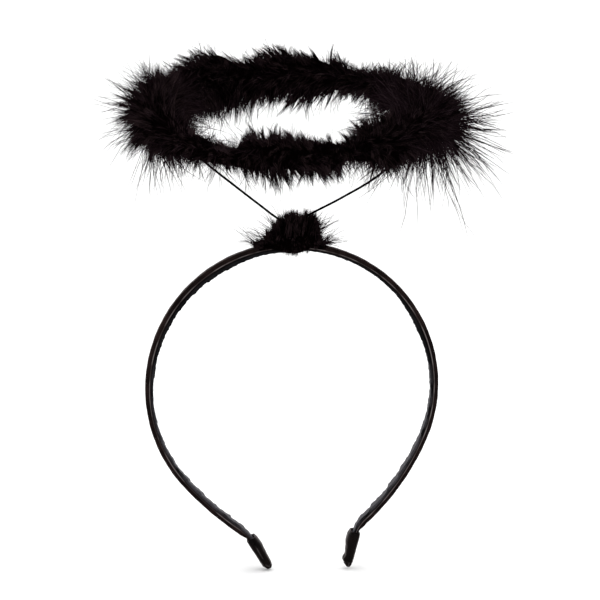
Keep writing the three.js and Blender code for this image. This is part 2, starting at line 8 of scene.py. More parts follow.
import bpy
import numpy as np
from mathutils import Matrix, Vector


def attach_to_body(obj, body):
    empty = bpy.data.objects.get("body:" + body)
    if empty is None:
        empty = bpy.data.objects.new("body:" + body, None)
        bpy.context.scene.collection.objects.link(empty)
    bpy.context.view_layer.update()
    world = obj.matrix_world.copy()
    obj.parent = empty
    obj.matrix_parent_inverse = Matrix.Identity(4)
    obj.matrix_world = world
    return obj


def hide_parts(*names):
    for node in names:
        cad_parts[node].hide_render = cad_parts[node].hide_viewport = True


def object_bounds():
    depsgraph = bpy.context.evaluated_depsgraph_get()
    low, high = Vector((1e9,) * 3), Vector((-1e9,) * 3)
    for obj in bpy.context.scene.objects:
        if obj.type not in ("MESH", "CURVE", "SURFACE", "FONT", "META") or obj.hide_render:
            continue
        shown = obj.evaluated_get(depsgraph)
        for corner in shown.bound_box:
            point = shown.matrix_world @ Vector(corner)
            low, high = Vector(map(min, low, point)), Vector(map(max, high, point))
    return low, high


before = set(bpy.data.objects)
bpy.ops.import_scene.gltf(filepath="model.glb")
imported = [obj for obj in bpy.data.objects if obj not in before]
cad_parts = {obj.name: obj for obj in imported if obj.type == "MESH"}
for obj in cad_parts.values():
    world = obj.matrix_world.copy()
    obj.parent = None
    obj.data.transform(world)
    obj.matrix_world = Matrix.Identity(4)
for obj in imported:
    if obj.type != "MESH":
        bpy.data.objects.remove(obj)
CAD_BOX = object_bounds()
BODY = "root"
MM = 0.001
UP = np.array([0.0, 0.0, 1.0])

# Camera and stage

CAMERA_PLACE = (-0.0567, -1.0818, 0.1130)
CAMERA_AIM = (0.0038, 0.0, -0.0245)
LENS = 134.6
CLIP_START = 0.05
CLIP_END = 60.0
FLOOR_GAP = 0.6 * MM
FLOOR_SIZE = 24.0
STUDIO_STRENGTH = 1.28
FLOOR_WHITE = 0.94


def new_object(name, data):
    made = bpy.data.objects.new(name, data)
    bpy.context.scene.collection.objects.link(made)
    return made


def look_at(thing, place, aim):
    """Puts a camera or light at a place and turns it to face a point."""
    thing.location = place
    way = Vector(aim) - Vector(place)
    thing.rotation_euler = way.to_track_quat("-Z", "Y").to_euler()


def add_camera():
    data = bpy.data.cameras.new("camera")
    data.lens = LENS
    data.clip_start = CLIP_START
    data.clip_end = CLIP_END
    camera = new_object("camera", data)
    look_at(camera, CAMERA_PLACE, CAMERA_AIM)
    bpy.context.scene.camera = camera


def add_light(name, place, size, power):
    """A round light that faces the crown seat."""
    data = bpy.data.lights.new(name, "AREA")
    data.shape = "DISK"
    data.size = size
    data.energy = power
    look_at(new_object(name, data), place, (0.0, 0.0, 0.0))


def add_stage():
    world = bpy.data.worlds.new("studio")
    world.use_nodes = True
    background = world.node_tree.nodes["Background"]
    background.inputs["Color"].default_value = (1.0, 1.0, 1.0, 1.0)
    background.inputs["Strength"].default_value = STUDIO_STRENGTH
    bpy.context.scene.world = world
    bpy.context.scene.view_settings.view_transform = "Standard"
    low = CAD_BOX[0].z - FLOOR_GAP
    half = FLOOR_SIZE / 2
    corners = [(-half, -half, low), (half, -half, low), (half, half, low), (-half, half, low)]
    mesh = bpy.data.meshes.new("floor")
    mesh.from_pydata(corners, [], [(0, 1, 2, 3)])
    paint = Nodes("pale_floor")
    paint.shade(Base_Color=(*(FLOOR_WHITE,) * 3, 1.0), Roughness=0.9, Specular_IOR_Level=0.1)
    mesh.materials.append(paint.material)
    new_object("floor", mesh)


# Materials

# The ribbon's cross ribs run a little aslant, and its warp threads run along it.
RIB_SKEW = 0.3
WARP_PITCH = 0.45 * MM
WEAVE_HEIGHT = 0.05 * MM
CREASE_HEIGHT = 0.25 * MM

# Where the lining's painted shade at the crown gives way to its tone on the legs, as shares of a leg's
# length.
LEG_LENGTH = 200 * MM
CROWN_SHADE_SHARE = 0.45
LEG_UNSHADED_SHARE = 0.7

# Noise scales, in waves to a metre
WEAR_SCALE = 170.0
BREAK_SCALE = 105.0
CREASE_SCALE = 420.0
DOWN_SCALE = 130.0
COAT_SCALE = 700.0


class Nodes:
    """A short way to build a material's node tree."""

    def __init__(self, name):
        self.material = bpy.data.materials.new(name)
        self.material.use_nodes = True
        self.tree = self.material.node_tree
        self.shader = self.tree.nodes["Principled BSDF"]

    def add(self, kind, settings=None, **inputs):
        node = self.tree.nodes.new(kind)
        for key, value in (settings or {}).items():
            setattr(node, key, value)
        for key, value in inputs.items():
            self.set(node, key.replace("_", " "), value)
        return node

    def set(self, node, socket, value):
        target = node.inputs[int(socket) if socket.isdigit() else socket]
        if isinstance(value, bpy.types.NodeSocket):
            self.tree.links.new(value, target)
        else:
            target.default_value = value

    def shade(self, **inputs):
        for key, value in inputs.items():
            self.set(self.shader, key.replace("_", " "), value)

    def math(self, operation, first, second=0.0):
        node = self.tree.nodes.new("ShaderNodeMath")
        node.operation = operation
        self.set(node, "0", first)
        self.set(node, "1", second)
        return node.outputs[0]

    def ramp(self, value, stops):
        node = self.tree.nodes.new("ShaderNodeValToRGB")
        self.tree.links.new(value, node.inputs["Fac"])
        while len(node.color_ramp.elements) < len(stops):
            node.color_ramp.elements.new(0.5)
        for element, (place, colour) in zip(node.color_ramp.elements, stops):
            element.position = place
            element.color = (*colour, 1.0)
        return node.outputs["Color"]

    def mix(self, share, first, second, blend="MIX"):
        node = self.tree.nodes.new("ShaderNodeMix")
        node.data_type = "RGBA"
        node.blend_type = blend
        for socket, value in (("0", share), ("6", first), ("7", second)):
            self.set(node, socket, value)
        return node.outputs[2]

    def noise(self, vector, scale, detail=3.0):
        node = self.add("ShaderNodeTexNoise", Vector=vector, Scale=scale, Detail=detail)
        return node.outputs["Fac"]

    def bump(self, height, distance, strength=1.0, normal=None):
        node = self.add("ShaderNodeBump", Height=height, Distance=distance, Strength=strength)
        if normal is not None:
            self.tree.links.new(normal, node.inputs["Normal"])
        return node.outputs["Normal"]

    def place(self):
        """The point in the part's own frame, in metres."""
        return self.add("ShaderNodeTexCoord").outputs["Object"]

    def detail(self):
        """The three numbers that the mesh holds for each point."""
        held = self.add("ShaderNodeAttribute", {"attribute_name": "detail"}).outputs["Vector"]
        parts = self.add("ShaderNodeSeparateXYZ", Vector=held)
        return [parts.outputs[axis] for axis in ("X", "Y", "Z")]


def ribbon_material(name, base, lit, edge, rib_pitch, roughness, gloss, sheen, sheen_tint, crown=1.0):
    """Woven ribbon. Its detail holds metres along, metres round and the share of its edge colour,
    which is
    painted light: a painted highlight on the folded edges and folds of satin, painted shade on the
    lining.

    crown is the painted shade towards the crown, where the ribbon faces down: its tone there as a
    share of its tone on the legs."""
    nodes = Nodes(name)
    along, around, fold = nodes.detail()
    skewed = nodes.math("ADD", along, nodes.math("MULTIPLY", around, RIB_SKEW))
    ribs = nodes.math("SINE", nodes.math("MULTIPLY", skewed, 2 * math.pi / rib_pitch))
    warp = nodes.math("SINE", nodes.math("MULTIPLY", around, 2 * math.pi / WARP_PITCH))
    cloth = nodes.math("ADD", ribs, nodes.math("MULTIPLY", warp, 0.3))
    wear = nodes.noise(nodes.place(), WEAR_SCALE, 4.0)
    mottle = nodes.math("ADD", wear, nodes.math("MULTIPLY", ribs, 0.09))
    tone = nodes.mix(nodes.ramp(mottle, [(0.36, (0, 0, 0)), (0.68, (1, 1, 1))]), (*base, 1), (*lit, 1))
    # Painted shade: the ribbon is darkened towards the crown, where it faces down.
    from_crown = nodes.math("MULTIPLY", nodes.math("ABSOLUTE", along), 1 / LEG_LENGTH)
    shade = nodes.ramp(from_crown, [(CROWN_SHADE_SHARE, (crown,) * 3), (LEG_UNSHADED_SHARE, (1, 1, 1))])
    tone = nodes.mix(1.0, tone, shade, "MULTIPLY")
    patchy = nodes.noise(nodes.place(), BREAK_SCALE, 2.0)
    breaks = nodes.ramp(patchy, [(0.40, (0.15,) * 3), (0.6, (1, 1, 1))])
    # Painted light: the edge colour, broken up by noise, paints highlights along the satin's edges and
    # folds, and shade along the lining's edges.
    colour = nodes.mix(nodes.math("MULTIPLY", fold, breaks), tone, (*edge, 1))
    weave = nodes.bump(cloth, WEAVE_HEIGHT, 0.6)
    creases = nodes.noise(nodes.place(), CREASE_SCALE, 5.0)
    creased = nodes.bump(creases, CREASE_HEIGHT, 0.6, weave)
    rough = nodes.math("ADD", roughness - 0.08, nodes.math("MULTIPLY", wear, 0.16))
    nodes.shade(Base_Color=colour, Roughness=rough, Normal=creased, Specular_IOR_Level=gloss)
    nodes.shade(Sheen_Weight=sheen, Sheen_Tint=(*sheen_tint, 1.0), Sheen_Roughness=0.35)
    return nodes.material


def down_material(name, deep, lit):
    """Feather down: near black, browner in patches and in barbs whose detail says so."""
    nodes = Nodes(name)
    patches = nodes.noise(nodes.place(), DOWN_SCALE, 2.0)
    tone, _, _ = nodes.detail()
    share = nodes.math("ADD", nodes.math("MULTIPLY", patches, 0.5), nodes.math("MULTIPLY", tone, 0.5))
    colour = nodes.ramp(share, [(0.42, deep), (0.84, lit)])
    nodes.shade(Base_Color=colour, Roughness=0.85, Specular_IOR_Level=0.0)
    return nodes.material


def wire_material():
    """Thin black coat on wire, with slight unevenness."""
    nodes = Nodes("wire_coat")
    worn = nodes.noise(nodes.place(), COAT_SCALE)
    nodes.shade(
        Base_Color=nodes.ramp(worn, [(0.3, (0.0005, 0.0005, 0.0005)), (0.8, (0.002, 0.0018, 0.0018))]),
        Roughness=nodes.math("ADD", 0.45, nodes.math("MULTIPLY", worn, 0.2)),
        Normal=nodes.bump(worn, 0.06 * MM, 0.5), Specular_IOR_Level=0.015,
    )
    return nodes.material


# Meshes


def add_piece(name, points, triangles, material, stands_for, detail=None):
    """A shown piece from arrays of points and triangles, riding with the part.

    detail holds three numbers a point, which the material reads."""
    mesh = bpy.data.meshes.new(name)
    mesh.vertices.add(len(points))
    mesh.vertices.foreach_set("co", np.ascontiguousarray(points, np.float32).ravel())
    mesh.loops.add(triangles.size)
    mesh.loops.foreach_set("vertex_index", np.ascontiguousarray(triangles, np.int32).ravel())
    mesh.polygons.add(len(triangles))
    mesh.polygons.foreach_set("loop_start", np.arange(0, triangles.size, 3, dtype=np.int32))
    mesh.polygons.foreach_set("use_smooth", np.ones(len(triangles), bool))
    if detail is not None:
        layer = mesh.attributes.new("detail", "FLOAT_VECTOR", "POINT")
        layer.data.foreach_set("vector", np.ascontiguousarray(detail, np.float32).ravel())
    mesh.update(calc_edges=True)
    mesh.materials.append(material)
    piece = new_object(name, mesh)
    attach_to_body(piece, BODY)
    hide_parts(*stands_for)


def facing_out(points, triangles):
    """Turns the triangles round where the winding has made the solid inside out."""
    a, b, c = (points[triangles[:, k]] for k in range(3))
    volume = np.einsum("ij,ij->", a, np.cross(b, c))
    return triangles if volume > 0 else triangles[:, ::-1]


def skin(rings):
    """Points and triangles of a closed skin through rings of equal count, shape (rings, count, 3)."""
    n, k = rings.shape[:2]
    i = np.arange(n - 1)[:, None] * k
    j = np.arange(k)[None, :]
    after = (j + 1) % k
    quads = [(i + j, i + after, i + after + k), (i + j, i + after + k, i + j + k)]
    sides = np.concatenate([np.stack(np.broadcast_arrays(*q), -1).reshape(-1, 3) for q in quads])
    points = np.concatenate([rings.reshape(-1, 3), rings[[0, -1]].mean(axis=1)])
    ring = np.arange(k)
    turned = np.roll(ring, -1)
    last = (n - 1) * k
    start = np.stack([turned, ring, np.full(k, n * k)], -1)
    end = np.stack([ring + last, turned + last, np.full(k, n * k + 1)], -1)
    triangles = np.concatenate([sides, start, end])
    return points, facing_out(points, triangles)


def smooth(share):
    share = np.clip(share, 0.0, 1.0)
    return share * share * (3 - 2 * share)


def unit(vectors):
    return vectors / np.linalg.norm(vectors, axis=-1, keepdims=True)


def rows_of(columns, *rows):
    """A table's rows as dictionaries, with the names of its columns as keys."""
    return [dict(zip(columns.split(), row)) for row in rows]


def table_value(rows, at, column, period=None):
    """A smooth value between the rows of a table that its first column, at, orders."""
    keys = np.array([row["at"] for row in rows], float)
    values = np.array([row[column] for row in rows], float)
    if period:
        at = np.mod(at, period)
        keys = np.append(keys, keys[0] + period)
        values = np.append(values, values[0])
    at = np.clip(at, keys[0], keys[-1])
    i = np.clip(np.searchsorted(keys, at, side="right") - 1, 0, len(keys) - 2)
    share = smooth((at - keys[i]) / (keys[i + 1] - keys[i]))
    return values[i] + (values[i + 1] - values[i]) * share


# Hoop line, on the middle of the cover's thickness

HOOP_RADIUS = 70.5 * MM
COVER_WIDTH = 8 * MM
COVER_THICKNESS = 2.7 * MM
COVER_END_THICKNESS = 1.2 * MM
COVER_END_TAPER = 4 * MM
INNER_WIDTH = 7 * MM
INNER_THICKNESS = 0.8 * MM
SEAT_GAP = 0.3 * MM
WRAP_LENGTH = 18.5 * MM
WRAP_PAST_END = 3.5 * MM
INNER_INTO_TIP = 3 * MM
HOOP_LINE_HEIGHT = INNER_THICKNESS + SEAT_GAP + COVER_THICKNESS / 2

# Each side from the crown to its end: arcs as shares of the hoop's radius and turns in degrees, an
# outward flare, and a straight tip
SIDE_ARCS = {-1: [(1, 132.3), (2.3, 11.9)], 1: [(1.08, 14), (0.97, 99), (1.72, 23.7)]}
SIDE_FLARE = {-1: 21.9, 1: 34.5}
FLARE_LENGTH = 9 * MM
TIP_LENGTH = 13 * MM
HOOP_SIDES = {
    side: [(share * HOOP_RADIUS * math.radians(turn), math.radians(turn)) for share, turn in arcs]
    + [(FLARE_LENGTH, math.radians(-SIDE_FLARE[side])), (TIP_LENGTH, 0.0)]
    for side, arcs in SIDE_ARCS.items()
}


def side_length(side):
    return sum(length for length, _ in HOOP_SIDES[side])


def mouth_at(side):
    """Length from the crown to the mouth of the tip wrap on a side."""
    return side_length(side) - (WRAP_LENGTH - WRAP_PAST_END)


def hoop_place(along):
    """Middle-line point and outward direction at a signed length, negative on the left."""
    side = -1 if along < 0 else 1
    x, z, heading, remaining = 0.0, HOOP_LINE_HEIGHT, 0.0, abs(along)
    for i, (length, turn) in enumerate(HOOP_SIDES[side]):
        step = remaining if i == len(HOOP_SIDES[side]) - 1 else min(remaining, length)
        if step <= 0:
            break
        bend = turn * step / length
        chord = 2 * step * math.sin(bend / 2) / bend if abs(bend) > 1e-9 else step
        x += chord * math.cos(heading + bend / 2)
        z -= chord * math.sin(heading + bend / 2)
        heading += bend
        remaining -= step
    centre = np.array([side * x, 0.0, z])
    out = np.array([side * math.sin(heading), 0.0, math.cos(heading)])
    return centre, out


def hoop_ring(along, section):
    """Points of a section, an array of across and out, at a signed length along the hoop."""
    centre, out = hoop_place(along)
    section = np.asarray(section)
    return centre + section[:, 1:2] * out + section[:, 0:1] * np.array([0.0, 1.0, 0.0])


def wander(along, *waves):
    """A sum of sine waves along the hoop, each as size, wavelength and phase."""
    return sum(size * math.sin(2 * math.pi * along / length + phase) for size, length, phase in waves)


# Ribbon cover: a bead of folded ribbon low on each side, then a boxy face with a soft rim over the top

# The fold column is the share of painted highlight along the bead's folded edge.
COVER_SECTION = rows_of(
    "across out fold",
    (3.30, 0.00, 0.0),
    (3.70, 0.02, 0.0),
    (3.90, 0.12, 0.0),
    (3.98, 0.24, 0.2),
    (4.02, 0.34, 0.9),
    (4.03, 0.48, 1.0),
    (4.01, 0.62, 0.8),
    (3.92, 0.74, 0.15),
    (3.76, 0.82, 0.0),
    (3.70, 0.90, 0.0),
    (3.76, 1.00, 0.0),
    (3.87, 1.16, 0.0),
    (3.94, 1.42, 0.0),
    (3.93, 1.74, 0.0),
    (3.84, 2.04, 0.0),
    (3.64, 2.30, 0.0),
    (3.28, 2.49, 0.0),
    (2.70, 2.61, 0.0),
    (1.80, 2.67, 0.0),
    (0.80, 2.70, 0.0),
)
COVER_STEP = 1.2 * MM
COVER_RIPPLE = 0.07 * MM


def cover_section(along):
    """The cover's section at a signed length, with its detail."""
    to_mouth = mouth_at(-1 if along < 0 else 1) - abs(along)
    thinned = COVER_END_THICKNESS / COVER_THICKNESS
    share = thinned + (1 - thinned) * min(1.0, max(0.0, to_mouth / COVER_END_TAPER))
    points, ribbon = [], []
    for mirror in (1, -1):
        rows = COVER_SECTION if mirror == 1 else COVER_SECTION[::-1]
        phase = 1.3 * mirror
        for row in rows:
            ripple = COVER_RIPPLE * wander(
                along, (0.6, 13 * MM, phase + row["out"]), (0.4, 5.3 * MM, 2 * phase + 2 * row["out"])
            )
            upper = row["out"] * MM / COVER_THICKNESS
            points.append((
                mirror * (row["across"] * MM + ripple),
                -COVER_THICKNESS / 2 + (row["out"] * MM + ripple * upper) * share,
            ))
            around = mirror * (row["across"] - row["out"] - COVER_WIDTH / MM) * MM
            ribbon.append((along, around, row["fold"]))
    return points, ribbon


def add_ribbon(name, node, material, section, start, end, step):
    """A ribbon along the hoop, through its sections between two signed lengths."""
    stops = np.linspace(start, end, int((end - start) / step))
    sections = [section(stop) for stop in stops]
    rings = np.array([hoop_ring(stop, points) for stop, (points, _) in zip(stops, sections)])
    ribbon = np.array([values for _, values in sections])
    points, triangles = skin(rings)
    detail = np.concatenate([ribbon.reshape(-1, 3), ribbon[[0, -1]].mean(axis=1)])
    add_piece(name, points, triangles, material, [node], detail)


def add_cover(material):
    add_ribbon(
        "ribbon_cover", "headband", material, cover_section,
        start=-side_length(-1), end=side_length(1), step=COVER_STEP,
    )


# Inner ribbon: puckered, with edges that ruffle more than its middle

FORK_X = -1.5 * MM
INNER_STEP = 0.7 * MM
INNER_COLUMNS = 12
RUFFLE = 0.14 * MM
PUCKER_SKEW = 1.2 * MM
LINING_OVERLAP = 0.02 * MM

# Signed places of the puckers' crests and their heights, in millimetres. Each is climbed slowly
# from the crown's side and drops at once on the tip's side.
PUCKER_CRESTS = [
    (-197, 0.3), (-189, 0.6), (-180, 0.35), (-171, 0.65), (-161.5, 0.7), (-149, 0.4), (-138, 0.3),
    (-127, 0.3), (-116, 0.25), (-104, 0.45), (-91, 0.2), (-79, 0.25), (-67, 0.3), (-57, 0.5),
    (-47, 0.5), (-36, 0.3), (-26, 0.15),
    (27, 0.1), (41, 0.15), (55, 0.15), (70, 0.2), (84, 0.2), (97, 0.15), (110, 0.2), (122, 0.25),
    (134, 0.3), (146, 0.4), (157.5, 0.6), (167.5, 0.65), (181, 0.6), (190, 0.3),
]
CREST_CLIMB = 10.0
CREST_DROP = 1.4

# How far the ribbon stands off all along, by the distance from the crown, in millimetres.
LINING_STAND = rows_of(
    "at left right",
    (17, 0.9, 0.0),
    (35, 1.4, 0.15),
    (55, 0.95, 0.35),
    (79, 0.9, 1.15),
    (100, 0.6, 0.35),
    (118, 0.0, 0.0),
)


def pucker_rise(along):
    """How far the ribbon stands off the hoop at a signed length."""
    here = along / MM
    side = -1 if along < 0 else 1
    rise = 0.0
    for crest, height in PUCKER_CRESTS:
        past = (here - crest) * side
        reach = CREST_DROP if past > 0 else CREST_CLIMB
        if crest * side > 0 and abs(past) < reach:
            share = 1 - abs(past) / reach
            rise = max(rise, height * (smooth(share) if past > 0 else share**1.3))
    stand = table_value(LINING_STAND, abs(here), "left" if side < 0 else "right")
    return (rise + stand) * MM


def inner_section(along):
    """The lining ribbon's section at a signed length, with its detail."""
    near = -COVER_THICKNESS / 2 + LINING_OVERLAP
    half = INNER_WIDTH / 2
    shares = np.linspace(-1, 1, INNER_COLUMNS)
    points = [(-half, near), (half, near)]
    # The third number paints shade on the ribbon's side faces and its outermost columns.
    ribbon = [(along, -half, 1.0), (along, half, 1.0)]
    for share in shares[::-1]:
        rise = pucker_rise(along + PUCKER_SKEW * share)
        edge = abs(share) ** 2
        ruffle = RUFFLE * edge * wander(along, (0.7, 4.1 * MM, 3 * share), (0.5, 2.3 * MM, 5 * share))
        swell = rise * (0.75 + 0.25 * edge) + ruffle
        depth = SEAT_GAP + INNER_THICKNESS * (1 - 0.25 * edge)
        points.append((share * half, -COVER_THICKNESS / 2 - depth - swell))
        ribbon.append((along, share * half, max(0.0, abs(share) - 0.9) / 0.1))
    return points, ribbon


def add_inner_ribbon(material):
    add_ribbon(
        "lining_ribbon", "inner_ribbon", material, inner_section,
        start=-mouth_at(-1) - INNER_INTO_TIP, end=mouth_at(1) + INNER_INTO_TIP, step=INNER_STEP,
    )


# Tip wraps: ribbon folded round each end of the hoop, open at the mouth and pinched at the tip

WRAP_HALF_WIDTH = 5.45 * MM
WRAP_HALF_THICKNESS = 2.5 * MM
WRAP_MIDDLE = -1.3 * MM
WRAP_WALL = 0.7 * MM
WRAP_SIDES = 84
WRAP_STEPS = 60
WRAP_LIP_DEPTH = 0.2
WRAP_LIP_STEPS = 10
WRAP_SQUARENESS = 3.2
WRAP_PLEATS = 9
WRAP_PLEAT_HEIGHT = 0.12 * MM
WRAP_HALF_GIRTH = 12 * MM
MOUTH_CORNER_DROP = 0.7 * MM
MOUTH_OUTER_DROP = 0.8 * MM

# Stations down a wrap. wide is a share of the half width, inner and outer of the half thickness.
WRAP_SECTIONS = {
    -1: rows_of(
        "at wide inner outer",
        (0.00, 1.00, 1.05, 0.95),
        (0.12, 1.03, 1.22, 0.98),
        (0.30, 1.02, 1.30, 0.98),
        (0.50, 1.00, 1.12, 0.96),
        (0.68, 0.96, 0.95, 0.95),
        (0.84, 0.86, 0.86, 0.95),
        (0.95, 0.62, 0.66, 0.62),
        (1.00, 0.30, 0.30, 0.16),
    ),
    1: rows_of(
        "at wide inner outer",
        (0.00, 1.00, 1.10, 1.00),
        (0.12, 1.03, 1.40, 1.04),
        (0.30, 1.02, 1.45, 0.98),
        (0.50, 1.00, 1.20, 0.90),
        (0.68, 0.96, 1.02, 0.84),
        (0.81, 0.89, 1.32, 0.78),
        (0.92, 0.68, 0.84, 0.66),
        (1.00, 0.32, 0.26, 0.46),
    ),
}

# Folds on each flank of a wrap. Places are shares of the half thickness, outward positive, at the
# fold's start and end. Heights in millimetres are raised where positive.
WRAP_FOLDS = rows_of(
    "start end from to height width",
    (0.0, 0.34, -0.42, -0.02, -0.75, 0.13),
    (0.0, 0.55, 0.30, 0.30, -0.22, 0.12),
    (0.3, 0.85, 0.00, 0.12, 0.32, 0.10),
    (0.3, 1.0, -0.30, -0.05, -0.35, 0.14),
    (0.15, 1.0, 0.62, 0.40, -0.20, 0.14),
    (0.5, 1.0, -0.62, -0.35, -0.28, 0.13),
    (0.05, 0.7, -0.66, -0.74, 0.18, 0.12),
)

# Painted highlight lines along the folds. Places are shares of the half thickness.
WRAP_GLINTS = {
    -1: rows_of(
        "start end from to width light",
        (0.2, 0.64, -0.1, 0.04, 0.07, 0.85),
        (0.8, 0.98, 0.3, -0.3, 0.12, 0.3),
    ),
    1: rows_of(
        "start end from to width light",
        (0.04, 0.92, 0.74, 0.62, 0.07, 0.32),
        (0.84, 0.98, 0.0, 0.2, 0.14, 0.3),
    ),
}


def wrap_glint(side, share, side_place):
    """How much painted highlight a place on a wrap gets."""
    total = 0.0
    for glint in WRAP_GLINTS[side]:
        reach = (share - glint["start"]) / (glint["end"] - glint["start"])
        if 0 <= reach <= 1:
            middle = glint["from"] + (glint["to"] - glint["from"]) * reach
            shape = math.exp(-(((side_place - middle) / glint["width"]) ** 2))
            total += glint["light"] * math.sin(math.pi * reach) ** 0.5 * shape
    return total


def wrap_relief(share, side_place, flank):
    """Height of the folds on a flank, and none on the broad faces."""
    total = 0.0
    for fold in WRAP_FOLDS:
        reach = (share - fold["start"]) / (fold["end"] - fold["start"])
        if not 0 <= reach <= 1:
            continue
        middle = fold["from"] + (fold["to"] - fold["from"]) * reach
        ends = math.sin(math.pi * min(1.0, max(0.0, 0.15 + 0.85 * reach))) ** 0.5
        total += fold["height"] * ends * math.exp(-(((side_place - middle) / fold["width"]) ** 2))
    return total * MM * smooth(flank)


def wrap_ring(side, share, shrink):
    """A ring of the wrap at a share of its length, drawn in by shrink, and its painted highlights."""
    rows = WRAP_SECTIONS[side]
    columns = {key: float(table_value(rows, share, key)) for key in ("wide", "inner", "outer")}
    points, glints = [], []
    for k in range(WRAP_SIDES):
        angle = 2 * math.pi * k / WRAP_SIDES
        cos, sin = math.cos(angle), math.sin(angle)
        power = abs(cos) ** WRAP_SQUARENESS + abs(sin) ** WRAP_SQUARENESS
        squared = power ** (-1 / WRAP_SQUARENESS)
        thick = columns["outer"] if sin > 0 else columns["inner"]
        half_width = WRAP_HALF_WIDTH * columns["wide"] - shrink
        half_thick = WRAP_HALF_THICKNESS * thick - shrink
        flank = (abs(cos) - 0.55) / 0.3
        relief = wrap_relief(share, squared * sin, flank) * min(1.0, columns["wide"])
        pleat = WRAP_PLEAT_HEIGHT * math.sin(WRAP_PLEATS * angle + 4 * share)
        pleat *= smooth((share - 0.4) / 0.4)
        across = (half_width * squared + relief + pleat) * cos
        out = WRAP_MIDDLE + (half_thick * squared + pleat) * sin
        inner_corner = math.exp(-(((squared * sin + 0.8) / 0.6) ** 2))
        drop = MOUTH_CORNER_DROP * inner_corner + MOUTH_OUTER_DROP * smooth(squared * sin)
        along = mouth_at(side) + share * WRAP_LENGTH + drop * (1 - share) ** 4
        points.append(hoop_ring(side * along, [(across, out)])[0])
        glints.append(wrap_glint(side, share, squared * sin) * smooth(flank))
    return points, glints


def add_wrap(side, name, material):
    outer = [wrap_ring(side, share, 0.0) for share in np.linspace(0, 1, WRAP_STEPS)]
    inside = np.linspace(WRAP_LIP_DEPTH, 0.004, WRAP_LIP_STEPS)
    lip = [wrap_ring(side, share, WRAP_WALL) for share in inside]
    edge = [wrap_ring(side, 0.0, WRAP_WALL * turn) for turn in (0.85, 0.5, 0.15)]
    rows = lip + edge + outer
    rings = np.array([ring for ring, _ in rows])
    glint = np.array([values for _, values in rows])
    points, triangles = skin(rings)
    along = np.linspace(0, WRAP_LENGTH, len(rings))[:, None] * np.ones(WRAP_SIDES)
    girth = np.linspace(-WRAP_HALF_GIRTH, WRAP_HALF_GIRTH, WRAP_SIDES)
    ribbon = np.stack([along, np.ones(len(rings))[:, None] * girth, glint], -1)
    detail = np.concatenate([ribbon.reshape(-1, 3), np.zeros((2, 3))])
    add_piece(f"{name}_folded", points, triangles, material, [name], detail)


# Feather ring

RING_RADIUS = 66 * MM
RING_LEAN = math.radians(13.4)
RING_CENTRE = np.array([0.0, 0.0, 66 * MM])
RING_RIGHT = np.array([1.0, 0.0, 0.0])
RING_BACK = np.array([0.0, math.cos(RING_LEAN), math.sin(RING_LEAN)])
RING_UP = np.array([0.0, -math.sin(RING_LEAN), math.cos(RING_LEAN)])
FUR_RADIUS = 12 * MM

# Stations round the ring in degrees, 0 at the right and 90 at the back. wide, tall and lift are
# shares of the fur radius.
RING_SECTIONS = rows_of(
    "at wide tall lift",
    (0, 1.48, 1.32, -0.2),
    (20, 1.2, 0.88, -0.1),
    (40, 0.95, 0.82, 0.08),
    (56, 0.55, 0.55, 0.05),
    (66, 0.6, 0.72, 0.12),
    (80, 0.85, 1.05, 0.05),
    (92, 0.95, 1.2, 0.15),
    (106, 0.85, 0.98, -0.02),
    (124, 1.0, 1.42, 0.17),
    (133, 1.0, 1.25, 0.08),
    (150, 0.95, 1.05, 0),
    (165, 1.1, 1.25, 0),
    (180, 1.1, 1.45, 0),
    (202, 1.0, 1.15, -0.08),
    (222, 0.7, 0.62, -0.22),
    (241, 0.42, 0.38, -0.4),
    (251, 0.75, 0.85, -0.1),
    (266, 0.8, 0.8, -0.05),
    (281, 0.75, 0.75, -0.2),
    (289, 0.45, 0.42, -0.1),
    (300, 0.8, 0.85, 0.1),
    (311, 1.05, 1.2, -0.1),
    (328, 0.95, 0.72, 0.35),
    (342, 1.25, 1.0, 0.05),
)

# How the plumes lie. lean is how far they lean along the ring, twist is added above the ring's line
# and taken away below it, and scatter is how unlike each other they are.
RING_NAP = rows_of(
    "at lean twist scatter",
    (0, 0.0, 0.0, 0.42),
    (25, 0.1, 0.1, 0.42),
    (50, 0.2, 0.0, 0.4),
    (75, 0.6, -0.1, 0.28),
    (110, 0.7, 0.25, 0.25),
    (140, 0.5, 0.3, 0.28),
    (162, 0.1, 0.1, 0.4),
    (185, -0.1, 0.0, 0.42),
    (210, -0.15, 0.0, 0.4),
    (235, 0.1, -0.1, 0.5),
    (255, 0.1, -0.4, 0.35),
    (283, 0.0, -0.6, 0.28),
    (305, 0.0, -0.1, 0.42),
    (330, 0.0, 0.0, 0.42),
)

